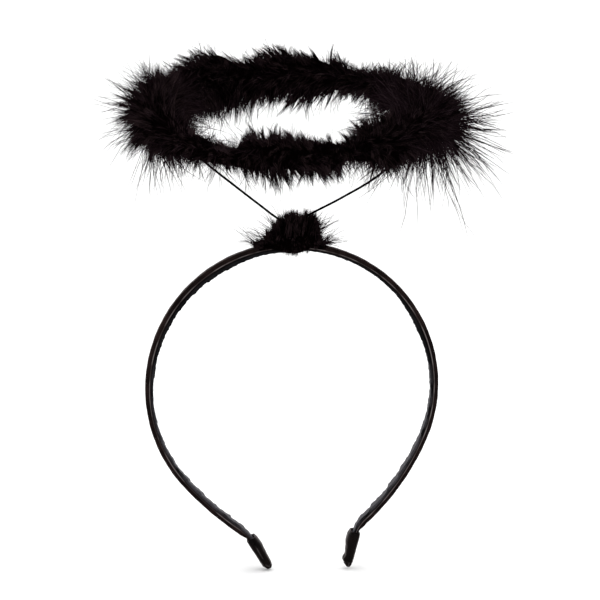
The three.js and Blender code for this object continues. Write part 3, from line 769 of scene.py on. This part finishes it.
# How far the feather stands out of its dense body, in millimetres: plume on every side, up and down
# more (or less) at its top and underside, and wisp for the longest single barbs.
RING_REACH = rows_of(
    "at plume up down wisp",
    (0, 6.0, -3.0, 5.0, 34),
    (20, 2.8, -4.5, 0.0, 25),
    (31, 1.8, -4.5, 0.0, 18),
    (40, 1.4, 4.5, 0.0, 14),
    (50, 1.2, 2.5, 0.0, 12),
    (60, 1.4, 6.5, 1.5, 12),
    (70, 1.6, 8.5, 4.5, 12),
    (76, 1.6, 6.0, 6.5, 12),
    (82, 1.6, 5.0, 8.5, 12),
    (90, 1.6, 6.0, 0.0, 13),
    (96, 1.6, 5.5, 0.0, 13),
    (102, 1.6, 4.5, 6.0, 13),
    (112, 1.6, 5.5, 8.0, 14),
    (120, 1.6, 9.5, 3.5, 14),
    (130, 1.6, 8.5, 3.0, 13),
    (138, 1.6, 2.0, 1.5, 13),
    (148, 1.6, 1.0, 0.5, 13),
    (165, 2.2, 4.5, 0.5, 19),
    (182, 5.0, 7.5, 0.5, 26),
    (203, 2.4, 2.0, -1.0, 9),
    (220, 1.9, -1.0, -1.0, 13),
    (230, 1.7, -2.5, -2.5, 10),
    (238, 1.7, 5.5, -3.5, 11),
    (244, 1.7, 4.0, -1.5, 12),
    (249, 1.7, -1.0, 1.0, 13),
    (254, 1.7, 5.0, 7.5, 12),
    (258, 1.7, 8.5, 8.0, 11),
    (263, 1.7, 5.5, 3.5, 11),
    (270, 1.7, 3.0, 2.5, 10),
    (283, 1.7, 1.5, 2.5, 10),
    (288, 1.4, 1.0, -4.0, 12),
    (294, 1.6, 5.0, -1.0, 12),
    (303, 1.9, 10.5, 1.5, 13),
    (313, 1.8, 3.0, -2.5, 13),
    (325, 1.4, 0.5, -9.5, 15),
    (334, 1.6, 0.0, -8.5, 30),
    (346, 4.6, -1.5, 3.5, 34),
)


def ring_column(degrees, column):
    rows = next(rows for rows in (RING_SECTIONS, RING_NAP, RING_REACH) if column in rows[0])
    return table_value(rows, degrees, column, 360)


def ring_ways(degrees):
    """The way out of the ring and the way along it, at angles in degrees."""
    cos = np.cos(np.radians(degrees))[..., None]
    sin = np.sin(np.radians(degrees))[..., None]
    return cos * RING_RIGHT + sin * RING_BACK, -sin * RING_RIGHT + cos * RING_BACK


def fur_point(degrees, turn, depth):
    """Point of the ring's fur: depth 0 on its middle and 1 on the dense body's surface."""
    outward, _ = ring_ways(degrees)
    angle = 2 * np.pi * turn
    wide = FUR_RADIUS * ring_column(degrees, "wide") * np.cos(angle) * depth
    tall = FUR_RADIUS * ring_column(degrees, "tall") * np.sin(angle) * depth
    lift = FUR_RADIUS * ring_column(degrees, "lift")
    return RING_CENTRE + outward * (RING_RADIUS + wide)[..., None] + RING_UP * (tall + lift)[..., None]


# Strands: thin and tapered with three sides. Plumes are tufts of barbs, and wisps are single long
# barbs in loose bundles.

BARBS_IN_PLUME = 18
BARB_LEVELS = 3
BARB_RADIUS = 0.17 * MM
BARB_NARROWING = 0.75
WISPS_IN_BUNDLE = 4
WISP_LEVELS = 5
WISP_RADIUS = 0.125 * MM
WISP_RADIUS_RANGE = (0.5, 1.2)
WISP_NARROWING = 0.45
WISP_ROOT_DEPTH = 0.6
WISP_CURL = 0.2
WISP_DROOP = 0.1


def barb_mesh(line, radius, side, narrowing):
    """Points and triangles of one closed strand for each centre line, shape (strands, levels, 3)."""
    count, levels = line.shape[:2]
    rings = levels - 1
    taper = 1 - narrowing * np.linspace(0, 1, levels)[:rings]
    tangent = unit(line[:, 1:] - line[:, :-1])
    first = unit(np.cross(tangent, side[:, None]))
    second = np.cross(tangent, first)
    angle = 2 * np.pi * np.arange(3) / 3
    offset = np.cos(angle)[:, None] * first[:, :, None] + np.sin(angle)[:, None] * second[:, :, None]
    tube = line[:, :rings, None] + offset * (radius[:, None] * taper)[:, :, None, None]
    points = np.concatenate([tube.reshape(count, -1, 3), line[:, -1:]], axis=1)
    pattern = [(0, 2, 1)]
    for r in range(rings - 1):
        for k in range(3):
            a, b = 3 * r + k, 3 * r + (k + 1) % 3
            pattern += [(a, b, b + 3), (a, b + 3, a + 3)]
    last = 3 * (rings - 1)
    pattern += [(last + k, last + (k + 1) % 3, 3 * rings) for k in range(3)]
    pattern = np.array(pattern)
    triangles = (np.arange(count)[:, None, None] * (3 * rings + 1) + pattern).reshape(-1, 3)
    return points.reshape(-1, 3), facing_out(points.reshape(-1, 3), triangles)


def any_side(direction, rng):
    """A unit vector square to each direction, turned at random about it."""
    return unit(np.cross(direction, rng.normal(size=direction.shape)))


def swings(rng, length, sizes, cycles, t):
    """Sideways waves that grow along each strand, with sizes as shares of its length."""
    count = len(length)
    wave = length * rng.uniform(*sizes, count)
    turns = rng.uniform(*cycles, count)
    phase = rng.uniform(0, 2 * np.pi, count)
    return (wave[:, None] * t * np.sin(2 * np.pi * turns[:, None] * t + phase[:, None]))[..., None]


def plume_barbs(rng, root, direction, length, bend, spread, gather, radius):
    """Centre lines, radii and sides of plumes' barbs, which start apart and draw together."""
    root, direction, length, bend, spread, gather = (
        np.repeat(a, BARBS_IN_PLUME, axis=0) for a in (root, direction, length, bend, spread, gather)
    )
    count = len(root)
    reach = length * (0.5 + 0.5 * rng.random(count) ** 0.5)
    side = any_side(direction, rng)
    start = spread * np.sqrt(rng.random(count))
    drift = side * (start * rng.uniform(-0.2, 0.55, count))[:, None]
    t = np.linspace(0, 1, BARB_LEVELS)[None, :]
    swing = swings(rng, length, (0.01, 0.05), (0.5, 1.4), t)
    across = any_side(direction, rng)
    run = reach[:, None] * t
    line = root[:, None] + direction[:, None] * run[..., None]
    line = line + bend[:, None] * (run * run / length[:, None])[..., None]
    line = line + side[:, None] * (start[:, None] * (1 - gather[:, None] * t ** 0.8))[..., None]
    line = line + drift[:, None] * (t * t)[..., None]
    line = line + across[:, None] * swing
    widths = radius * rng.uniform(0.7, 1.2, count)
    return line, widths, any_side(direction, rng)


# Plumes of the ring, the ranges in millimetres or shares. Spikes are plumes drawn to a point.
PLUME_ROOT_DEPTH = 0.42
PLUME_DROOP = 0.16
PLUME_SWAY = 0.2
PLUME_SPREAD = (0.8, 2.4)
PLUME_GATHER = (0.2, 0.85)
PLUME_EXTRA = (0.45, 1.2)
PLUME_BEYOND = {"least": 0.1, "most": 2.6, "power": 1.8}
SPIKE_SHARE = 0.08
SPIKE_BEYOND = 2.0
SPIKE_GATHER = 0.97
LEAST_LENGTH = 0.5

# Strands start more densely where the ring is thick or its wisps are long. Of each number of
# places drawn, one is kept.
LEAST_DENSITY = 0.4
FULL_GIRTH = 2.8
PLACES_DRAWN = 4


def ring_places(rng, count, first, last, columns, full, root_depth):
    """Angles, turns, roots, depths and directions of strands between two angles round the ring.

    They start most densely where the sum of the columns is full."""
    degrees = rng.uniform(first, last, PLACES_DRAWN * count)
    share = sum(ring_column(degrees, column) for column in columns) / full
    chance = LEAST_DENSITY + (1 - LEAST_DENSITY) * share
    kept = degrees[rng.random(len(degrees)) < chance][:count]
    turn = rng.random(len(kept))
    middle, root, surface = (fur_point(kept, turn, depth) for depth in (0.0, root_depth, 1.0))
    _, along = ring_ways(kept)
    lean = ring_column(kept, "lean") + ring_column(kept, "twist") * np.sin(2 * np.pi * turn)
    scatter = 0.75 * ring_column(kept, "scatter")
    direction = unit(surface - middle) + along * lean[:, None]
    direction = unit(direction + scatter[:, None] * rng.normal(size=direction.shape))
    return kept, turn, root, np.linalg.norm(surface - root, axis=1), direction


def ring_plumes(rng, count, first, last):
    """Roots, directions, lengths, bends and spikes of plumes between two angles round the ring."""
    kept, turn, root, depth, direction = ring_places(
        rng, count, first, last, ("wide", "tall"), FULL_GIRTH, PLUME_ROOT_DEPTH
    )
    above = np.sin(2 * np.pi * turn)
    spike = rng.random(len(kept)) < SPIKE_SHARE
    draw = rng.random(len(kept)) ** PLUME_BEYOND["power"]
    share = PLUME_BEYOND["least"] + PLUME_BEYOND["most"] * draw
    share = np.where(spike, SPIKE_BEYOND + 0.6 * share, share)
    up, down = ring_column(kept, "up"), ring_column(kept, "down")
    extra = up * np.maximum(above, 0) + down * np.maximum(-above, 0)
    extra = extra * rng.uniform(*PLUME_EXTRA, len(kept))
    beyond = MM * (share * ring_column(kept, "plume") + extra)
    length = np.maximum(depth + beyond, LEAST_LENGTH * depth)
    _, along = ring_ways(kept)
    bend = along * rng.normal(0.0, PLUME_SWAY, len(kept))[:, None] - UP * PLUME_DROOP
    return root, direction, length, bend, spike


WISP_SHARE = {"least": 0.1, "power": 1.7}
WISP_FALL = 0.45
WISP_SCATTER = 0.3
WISP_PARTING = 0.12
BUNDLE_RADIUS = 0.7 * MM
LONGEST_WISP = max(row["wisp"] for row in RING_REACH)


def bundled(*arrays):
    """Each bundle's values, given to all its wisps."""
    return (np.repeat(a, WISPS_IN_BUNDLE, axis=0) for a in arrays)


def ring_wisps(rng, bundles):
    """Roots, directions and lengths of single long barbs in loose bundles, most at the right end."""
    kept, turn, root, depth, direction = ring_places(
        rng, bundles, 0, 360, ("wisp",), LONGEST_WISP, WISP_ROOT_DEPTH
    )
    direction = unit(direction + WISP_SCATTER * rng.normal(size=direction.shape))
    draw = rng.random(len(kept)) ** WISP_SHARE["power"]
    share = WISP_SHARE["least"] + (1 - WISP_SHARE["least"]) * draw
    share = share * (1 + WISP_FALL * np.maximum(-np.sin(2 * np.pi * turn), 0))
    length = depth + MM * share * ring_column(kept, "wisp")
    root, direction, length = bundled(root, direction, length)
    root = root + BUNDLE_RADIUS * rng.normal(size=root.shape)
    direction = unit(direction + WISP_PARTING * rng.normal(size=direction.shape))
    return root, direction, length * rng.uniform(0.55, 1.0, len(root))


def wisp_lines(rng, root, direction, length):
    """Curved and slightly kinked centre lines, and their sides."""
    side = any_side(direction, rng)
    other = np.cross(direction, side)
    t = np.linspace(0, 1, WISP_LEVELS)[None, :]
    run = length[:, None] * t
    line = root[:, None] + direction[:, None] * run[..., None]
    curl = rng.normal(0, WISP_CURL, len(root))
    line = line + side[:, None] * (curl[:, None] * run * t)[..., None]
    line = line + other[:, None] * swings(rng, length, (0.008, 0.035), (0.6, 2.2), t)
    line = line - UP * (WISP_DROOP * run * t)[..., None]
    return line, any_side(direction, rng)


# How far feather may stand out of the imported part's box: a share of its side and a margin
BOX_SHARE = 0.028
BOX_MARGIN = 9.5 * MM


def keep_in_box(root, line):
    """Shortens each strand towards its root until it lies in the box that feather may fill."""
    low, high = (np.array(corner) for corner in CAD_BOX)
    room = (high - low) * BOX_SHARE + BOX_MARGIN
    way = line - root[:, None]
    limit = np.where(way > 0, high + room - root[:, None], low - room - root[:, None])
    share = np.where(np.abs(way) > 1e-6, limit / np.where(np.abs(way) > 1e-6, way, 1.0), 1.0)
    share = np.minimum(1.0, share.min(axis=(1, 2)))
    return root[:, None] + way * share[:, None, None]


FUR_SEED = 7
RING_PARTS = 4
PLUMES_IN_PART = 740
RING_WISP_BUNDLES = 3100
WISP_PIECES = 2
CORE_DEPTH = 0.7
CORE_STEPS = 240
CORE_SIDES = 28
CORE_RIPPLE = 0.05
CORE_RIPPLES_ROUND = 23


def strand_tones(rng, count, in_bundle, points_each):
    """The detail of a mesh of strands: a tone for each strand, near that of its bundle."""
    bundle = np.repeat(rng.random(-(-count // in_bundle)), in_bundle)[:count]
    tone = 0.4 * bundle + 0.6 * rng.random(count)
    detail = np.zeros((count, points_each, 3))
    detail[:, :, 0] = tone[:, None]
    return detail.reshape(-1, 3)


def add_strands(rng, name, node, material, strands, in_bundle, narrowing):
    """Shows strands, given as their centre lines, radii and sides, as one piece of a node."""
    line, radius, side = strands
    points, triangles = barb_mesh(line, radius, side, narrowing)
    tones = strand_tones(rng, len(line), in_bundle, len(points) // len(line))
    add_piece(name, points, triangles, material, [node], tones)


def add_fur_core(material):
    """The dark middle of the fur, which the barbs cover."""
    degrees = np.arange(CORE_STEPS) * (360 / CORE_STEPS)
    turns = np.arange(CORE_SIDES) / CORE_SIDES
    round_ring = np.sin(np.radians(degrees * CORE_RIPPLES_ROUND))
    depth = CORE_DEPTH + CORE_RIPPLE * (round_ring[:, None] * np.sin(2 * np.pi * turns * 3))
    grid = np.broadcast_to(degrees[:, None], depth.shape)
    points = fur_point(grid, np.broadcast_to(turns, depth.shape), depth).reshape(-1, 3)
    n, k = depth.shape
    i = np.arange(n)[:, None]
    j = np.arange(k)[None, :]
    a, b = i * k + j, i * k + (j + 1) % k
    c, d = (i + 1) % n * k + j, (i + 1) % n * k + (j + 1) % k
    corners = [np.stack(corner, -1).reshape(-1, 3) for corner in ((a, b, d), (a, d, c))]
    triangles = facing_out(points, np.concatenate(corners))
    add_piece("feather_ring_core", points, triangles, material, ["feather_ring"])


def add_ring_fur(material, wisp_material, amount):
    rng = np.random.default_rng(FUR_SEED)
    for part in range(RING_PARTS):
        first = 360 * (part - 0.5) / RING_PARTS
        plumes = ring_plumes(rng, int(PLUMES_IN_PART * amount), first, first + 360 / RING_PARTS)
        root, direction, length, bend, spike = plumes
        spread = MM * rng.uniform(*PLUME_SPREAD, len(root))
        gather = np.where(spike, SPIKE_GATHER, rng.uniform(*PLUME_GATHER, len(root)))
        barbs = plume_barbs(rng, root, direction, length, bend, spread, gather, BARB_RADIUS)
        line, radius, side = barbs
        strands = keep_in_box(np.repeat(root, BARBS_IN_PLUME, axis=0), line), radius, side
        name = f"feather_ring_plumes_{part + 1}"
        add_strands(rng, name, "feather_ring", material, strands, BARBS_IN_PLUME, BARB_NARROWING)
    for part in range(WISP_PIECES):
        root, direction, length = ring_wisps(rng, int(RING_WISP_BUNDLES * amount / WISP_PIECES))
        line, side = wisp_lines(rng, root, direction, length)
        radius = WISP_RADIUS * rng.uniform(*WISP_RADIUS_RANGE, len(root))
        radius = radius * (0.8 + 0.7 * length / MM / LONGEST_WISP)
        strands = keep_in_box(root, line), radius, side
        name = f"feather_ring_wisps_{part + 1}"
        add_strands(rng, name, "feather_ring", wisp_material, strands, WISPS_IN_BUNDLE, WISP_NARROWING)


# Feather tuft on the crown

TUFT_HALF_DEPTH = 10 * MM
TUFT_RISE = 12.2 * MM
TUFT_SKIRT = 1.4 * MM
TUFT_SHIFT = 3.4 * MM
TUFT_STEPS = 25
TUFT_SIDES = 24
TUFT_END = 0.95
TUFT_PLUMES = 450
TUFT_PLUMES_ABOVE = 0.35
TUFT_ROOT_DEPTH = 0.72
TUFT_BARB_RADIUS = 0.13 * MM
TUFT_EXTRA = 1.8 * MM
TUFT_WISP_BUNDLES = 130
TUFT_WISPS_ON_RIGHT = 0.62
TUFT_WISP_START = 0.3

# The tuft's bulge below the hoop: its depth, and its middle and reach as shares of a flank.
TUFT_UNDER = {"depth": 2.0 * MM, "at": -0.1, "flat": 0.08, "reach": 0.55}

# The tuft's flanks, left and right: how far they reach, and the shares where they start and end.
TUFT_FLANKS = {
    -1: {"reach": 16.5 * MM, "shoulder": 0.14, "foot": 0.84},
    1: {"reach": 18.5 * MM, "shoulder": 0.29, "foot": 0.84},
}


def tuft_point(share, turn, depth):
    """Point of the tuft: share runs along the hoop from -1 to 1, and turn goes round the section."""
    left, right = TUFT_FLANKS[-1], TUFT_FLANKS[1]
    keys = ("reach", "shoulder", "foot")
    reach, shoulder, foot = (np.where(share < 0, left[key], right[key]) for key in keys)
    swell = 1 - smooth((np.abs(share) - shoulder) / (foot - shoulder))
    inner_face = INNER_THICKNESS + SEAT_GAP
    top = COVER_THICKNESS / 2 + TUFT_SKIRT + (TUFT_RISE - TUFT_SKIRT) * swell
    aside = np.abs(share - TUFT_UNDER["at"]) - TUFT_UNDER["flat"]
    under = (inner_face + TUFT_UNDER["depth"]) * (1 - smooth(aside / TUFT_UNDER["reach"]))
    bottom = -COVER_THICKNESS / 2 - under
    skirt = COVER_WIDTH / 2 + TUFT_SKIRT
    half_depth = skirt + (TUFT_HALF_DEPTH - skirt) * swell
    across = half_depth * np.cos(2 * np.pi * turn) * depth
    rise = (top + bottom) / 2 + (top - bottom) / 2 * np.sin(2 * np.pi * turn) * depth
    places = [hoop_place(along) for along in FORK_X + share * reach + TUFT_SHIFT * swell]
    centre = np.array([place[0] for place in places])
    out = np.array([place[1] for place in places])
    return centre + out * rise[:, None] + across[:, None] * np.array([0.0, 1.0, 0.0])


def add_tuft_core(material):
    shares = np.linspace(-0.9, 0.9, TUFT_STEPS)
    turns = np.arange(TUFT_SIDES) / TUFT_SIDES
    depth = CORE_DEPTH + 0.26 * smooth(-np.sin(2 * np.pi * turns) + 0.3)
    rings = [tuft_point(np.full(TUFT_SIDES, share), turns, depth) for share in shares]
    points, triangles = skin(np.array(rings))
    add_piece("feather_tuft_core", points, triangles, material, ["feather_tuft"])


def add_tuft_plumes(rng, material, amount):
    """Plumes all round the tuft, more of them on top, which fan out to its sides."""
    count = int(TUFT_PLUMES * amount)
    share = rng.uniform(-TUFT_END, TUFT_END, count)
    on_top = rng.random(count) < TUFT_PLUMES_ABOVE
    turn = np.where(on_top, rng.uniform(0.08, 0.42, count), rng.random(count))
    root, surface = (tuft_point(share, turn, depth) for depth in (TUFT_ROOT_DEPTH, 1.0))
    above = np.sin(2 * np.pi * turn)
    flank = smooth((np.abs(share) - 0.45) / 0.4)
    spread_out = share * (0.35 + 0.4 * flank)
    fan = np.stack([spread_out, 0.1 * rng.normal(size=count), 0.9 - 0.7 * flank], -1)
    direction = unit(unit(surface - root) + fan * smooth((above + 0.5) / 0.5)[:, None])
    direction = unit(direction + 0.13 * rng.normal(size=direction.shape))
    high = 0.8 + 4.4 * rng.random(count) ** 1.2
    low = 0.2 + 1.8 * rng.random(count) ** 1.5
    beyond = np.where(above > 0, high, low)
    length = np.linalg.norm(surface - root, axis=1) + MM * beyond * (1 - 0.5 * flank)
    length = length + TUFT_EXTRA * smooth(above + 0.6) * (1 - 0.7 * flank)
    bend = np.stack([0.1 * share, np.zeros(count), np.full(count, -0.05)], -1)
    spread = MM * rng.uniform(0.7, 1.7, count)
    gather = rng.uniform(0.1, 0.7, count)
    strands = plume_barbs(rng, root, direction, length, bend, spread, gather, TUFT_BARB_RADIUS)
    name = "feather_tuft_plumes"
    add_strands(rng, name, "feather_tuft", material, strands, BARBS_IN_PLUME, BARB_NARROWING)


def add_tuft_wisps(rng, material, amount):
    """Single long barbs at the tuft's sides, more of them on its right."""
    count = int(TUFT_WISP_BUNDLES * amount)
    on_right = rng.random(count) < TUFT_WISPS_ON_RIGHT
    right = rng.uniform(TUFT_WISP_START, TUFT_END, count)
    left = rng.uniform(-TUFT_END, -TUFT_WISP_START, count)
    share = np.where(on_right, right, left)
    turn = rng.uniform(0.05, 0.45, count)
    root, surface = (tuft_point(share, turn, depth) for depth in (WISP_ROOT_DEPTH, 1.0))
    fan = np.stack([1.4 * share, 0.2 * rng.normal(size=count), np.full(count, 0.15)], -1)
    direction = unit(unit(surface - root) + fan + 0.2 * rng.normal(size=(count, 3)))
    length = MM * (6 + 15 * rng.random(count) ** 2)
    root, direction, length = bundled(root, direction, length)
    direction = unit(direction + WISP_PARTING * rng.normal(size=direction.shape))
    length = length * rng.uniform(0.5, 1.0, len(length))
    line, side = wisp_lines(rng, root, direction, length)
    strands = line, WISP_RADIUS * rng.uniform(*WISP_RADIUS_RANGE, len(root)), side
    name = "feather_tuft_wisps"
    add_strands(rng, name, "feather_tuft", material, strands, WISPS_IN_BUNDLE, WISP_NARROWING)


# Wire stems

STEM_RADIUS = 0.55 * MM
RING_WIRE_RADIUS = 0.8 * MM
FOOT_LENGTH = 8 * MM
FOOT_BEND_LENGTH = 1.2 * MM
FOOT_BEND_RISE = 0.4 * MM
FORK_RISE = 6.6 * MM
STEM_SAG = {-1: 1 * MM, 1: 6.5 * MM}
STEM_ATTACH = 26
SAG_SHAPE = 27 / 4
SAG_SHARES = (0.15, 0.4, 0.7)
ARRIVAL_SHARE = 0.9
STEM_SIDES = 12
STEM_STEPS = 90


def catmull_rom(points, steps):
    """Points on a centripetal Catmull-Rom curve, evenly spaced in length."""
    p = np.concatenate([[2 * points[0] - points[1]], points, [2 * points[-1] - points[-2]]])
    found = []
    for k in range(1, len(p) - 2):
        knots = np.cumsum([0.0] + [np.linalg.norm(p[k + m] - p[k + m - 1]) ** 0.5 for m in (0, 1, 2)])
        t = np.linspace(knots[1], knots[2], 40, endpoint=k == len(p) - 3)[:, None]
        a = [
            ((knots[m + 1] - t) * p[k - 1 + m] + (t - knots[m]) * p[k + m]) / (knots[m + 1] - knots[m])
            for m in range(3)
        ]
        b = [
            ((knots[m + 2] - t) * a[m] + (t - knots[m]) * a[m + 1]) / (knots[m + 2] - knots[m])
            for m in range(2)
        ]
        found.append(((knots[2] - t) * b[0] + (t - knots[1]) * b[1]) / (knots[2] - knots[1]))
    line = np.concatenate(found)
    length = np.concatenate([[0], np.cumsum(np.linalg.norm(np.diff(line, axis=0), axis=1))])
    even = np.linspace(0, length[-1], steps)
    return np.stack([np.interp(even, length, line[:, k]) for k in range(3)], -1)


def stem_route(side):
    """A stem's route: a foot along the hoop's crown, up to the fork, and out to the ring's wire."""
    foot_out = COVER_THICKNESS / 2 + SEAT_GAP + STEM_RADIUS
    foot_x = FORK_X + side * (STEM_RADIUS + SEAT_GAP / 2)
    fork = np.array([foot_x, 0.0, HOOP_LINE_HEIGHT + foot_out + FORK_RISE])
    degrees = 180.0 + STEM_ATTACH if side < 0 else 360.0 - STEM_ATTACH
    outward, _ = ring_ways(np.array(degrees))
    attach = RING_CENTRE + outward * RING_RADIUS

    def on_hoop(along):
        return hoop_ring(along, [(0.0, foot_out)])[0]

    def sagged(share):
        drop = SAG_SHAPE * STEM_SAG[side] * share**2 * (1 - share)
        return fork + (attach - fork) * share - UP * drop

    end = attach - unit(attach - sagged(ARRIVAL_SHARE)) * (RING_WIRE_RADIUS + SEAT_GAP)
    return np.array([
        on_hoop(foot_x + side * FOOT_LENGTH),
        on_hoop(foot_x + side * FOOT_LENGTH / 2),
        on_hoop(foot_x + side * FOOT_BEND_LENGTH) + UP * FOOT_BEND_RISE,
        fork - UP * FORK_RISE / 2,
        fork,
        *(sagged(share) for share in SAG_SHARES),
        end,
    ])


def add_stem(side, name, material):
    line = catmull_rom(stem_route(side), STEM_STEPS)
    tangent = unit(np.gradient(line, axis=0))
    first = unit(np.cross(tangent, [0.0, 1.0, 0.0]))
    second = np.cross(tangent, first)
    angle = 2 * np.pi * np.arange(STEM_SIDES) / STEM_SIDES
    wobble = 1 + 0.05 * np.sin(np.arange(STEM_STEPS) * 1.7)
    offset = np.cos(angle)[:, None] * first[:, None] + np.sin(angle)[:, None] * second[:, None]
    rings = line[:, None] + offset * (STEM_RADIUS * wobble)[:, None, None]
    points, triangles = skin(rings)
    add_piece(f"{name}_wire", points, triangles, material, [name])


# Assembly

amount = 1.0

add_camera()
add_stage()
add_light("key", place=(-0.5, -0.9, 1.5), size=1.2, power=5.0)
add_light("top", place=(0.15, 0.2, 1.3), size=0.7, power=3.5)

cover_satin = ribbon_material(
    name="cover_satin", base=(0.0034, 0.0020, 0.0019), lit=(0.0125, 0.0075, 0.0070),
    # edge paints a highlight along the cover's folded edge.
    edge=(0.125, 0.110, 0.108), rib_pitch=1.0 * MM,
    roughness=0.45, gloss=0.015, sheen=0.13, sheen_tint=(0.30, 0.12, 0.10),
)
tip_satin = ribbon_material(
    name="tip_satin", base=(0.0012, 0.0009, 0.0009), lit=(0.0050, 0.0030, 0.0028),
    # edge paints the highlights along the wraps' folds.
    edge=(0.115, 0.102, 0.10), rib_pitch=1.0 * MM,
    roughness=0.38, gloss=0.03, sheen=0.20, sheen_tint=(0.22, 0.09, 0.08),
)
lining = ribbon_material(
    name="lining_weave", base=(0.036, 0.034, 0.039), lit=(0.058, 0.054, 0.061),
    # edge paints shade on the lining's side faces.
    edge=(0.0012, 0.0012, 0.0016), rib_pitch=1.3 * MM,
    # crown paints shade on the lining towards the crown.
    roughness=0.5, gloss=0.04, sheen=0.05, sheen_tint=(0.5, 0.5, 0.6), crown=0.12,
)
down = down_material("marabou_down", (0.0008, 0.0004, 0.0004), (0.046, 0.029, 0.032))
# The wisps' darkest tone is lighter and more purple than the down's: painted light shining through the
# thin backlit barbs.
wisps = down_material("marabou_wisps", (0.004, 0.002, 0.0027), (0.036, 0.023, 0.028))
wire = wire_material()

add_cover(cover_satin)
add_inner_ribbon(lining)
add_wrap(-1, "tip_wrap_left", tip_satin)
add_wrap(1, "tip_wrap_right", tip_satin)
add_stem(-1, "stem_left", wire)
add_stem(1, "stem_right", wire)
add_fur_core(down)
add_ring_fur(down, wisps, amount)
add_tuft_core(down)
tuft_chance = np.random.default_rng(FUR_SEED + 1)
add_tuft_plumes(tuft_chance, down, amount)
add_tuft_wisps(tuft_chance, wisps, amount)

ring_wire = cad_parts["ring_wire"]
ring_wire.data.materials.clear()
ring_wire.data.materials.append(wire)
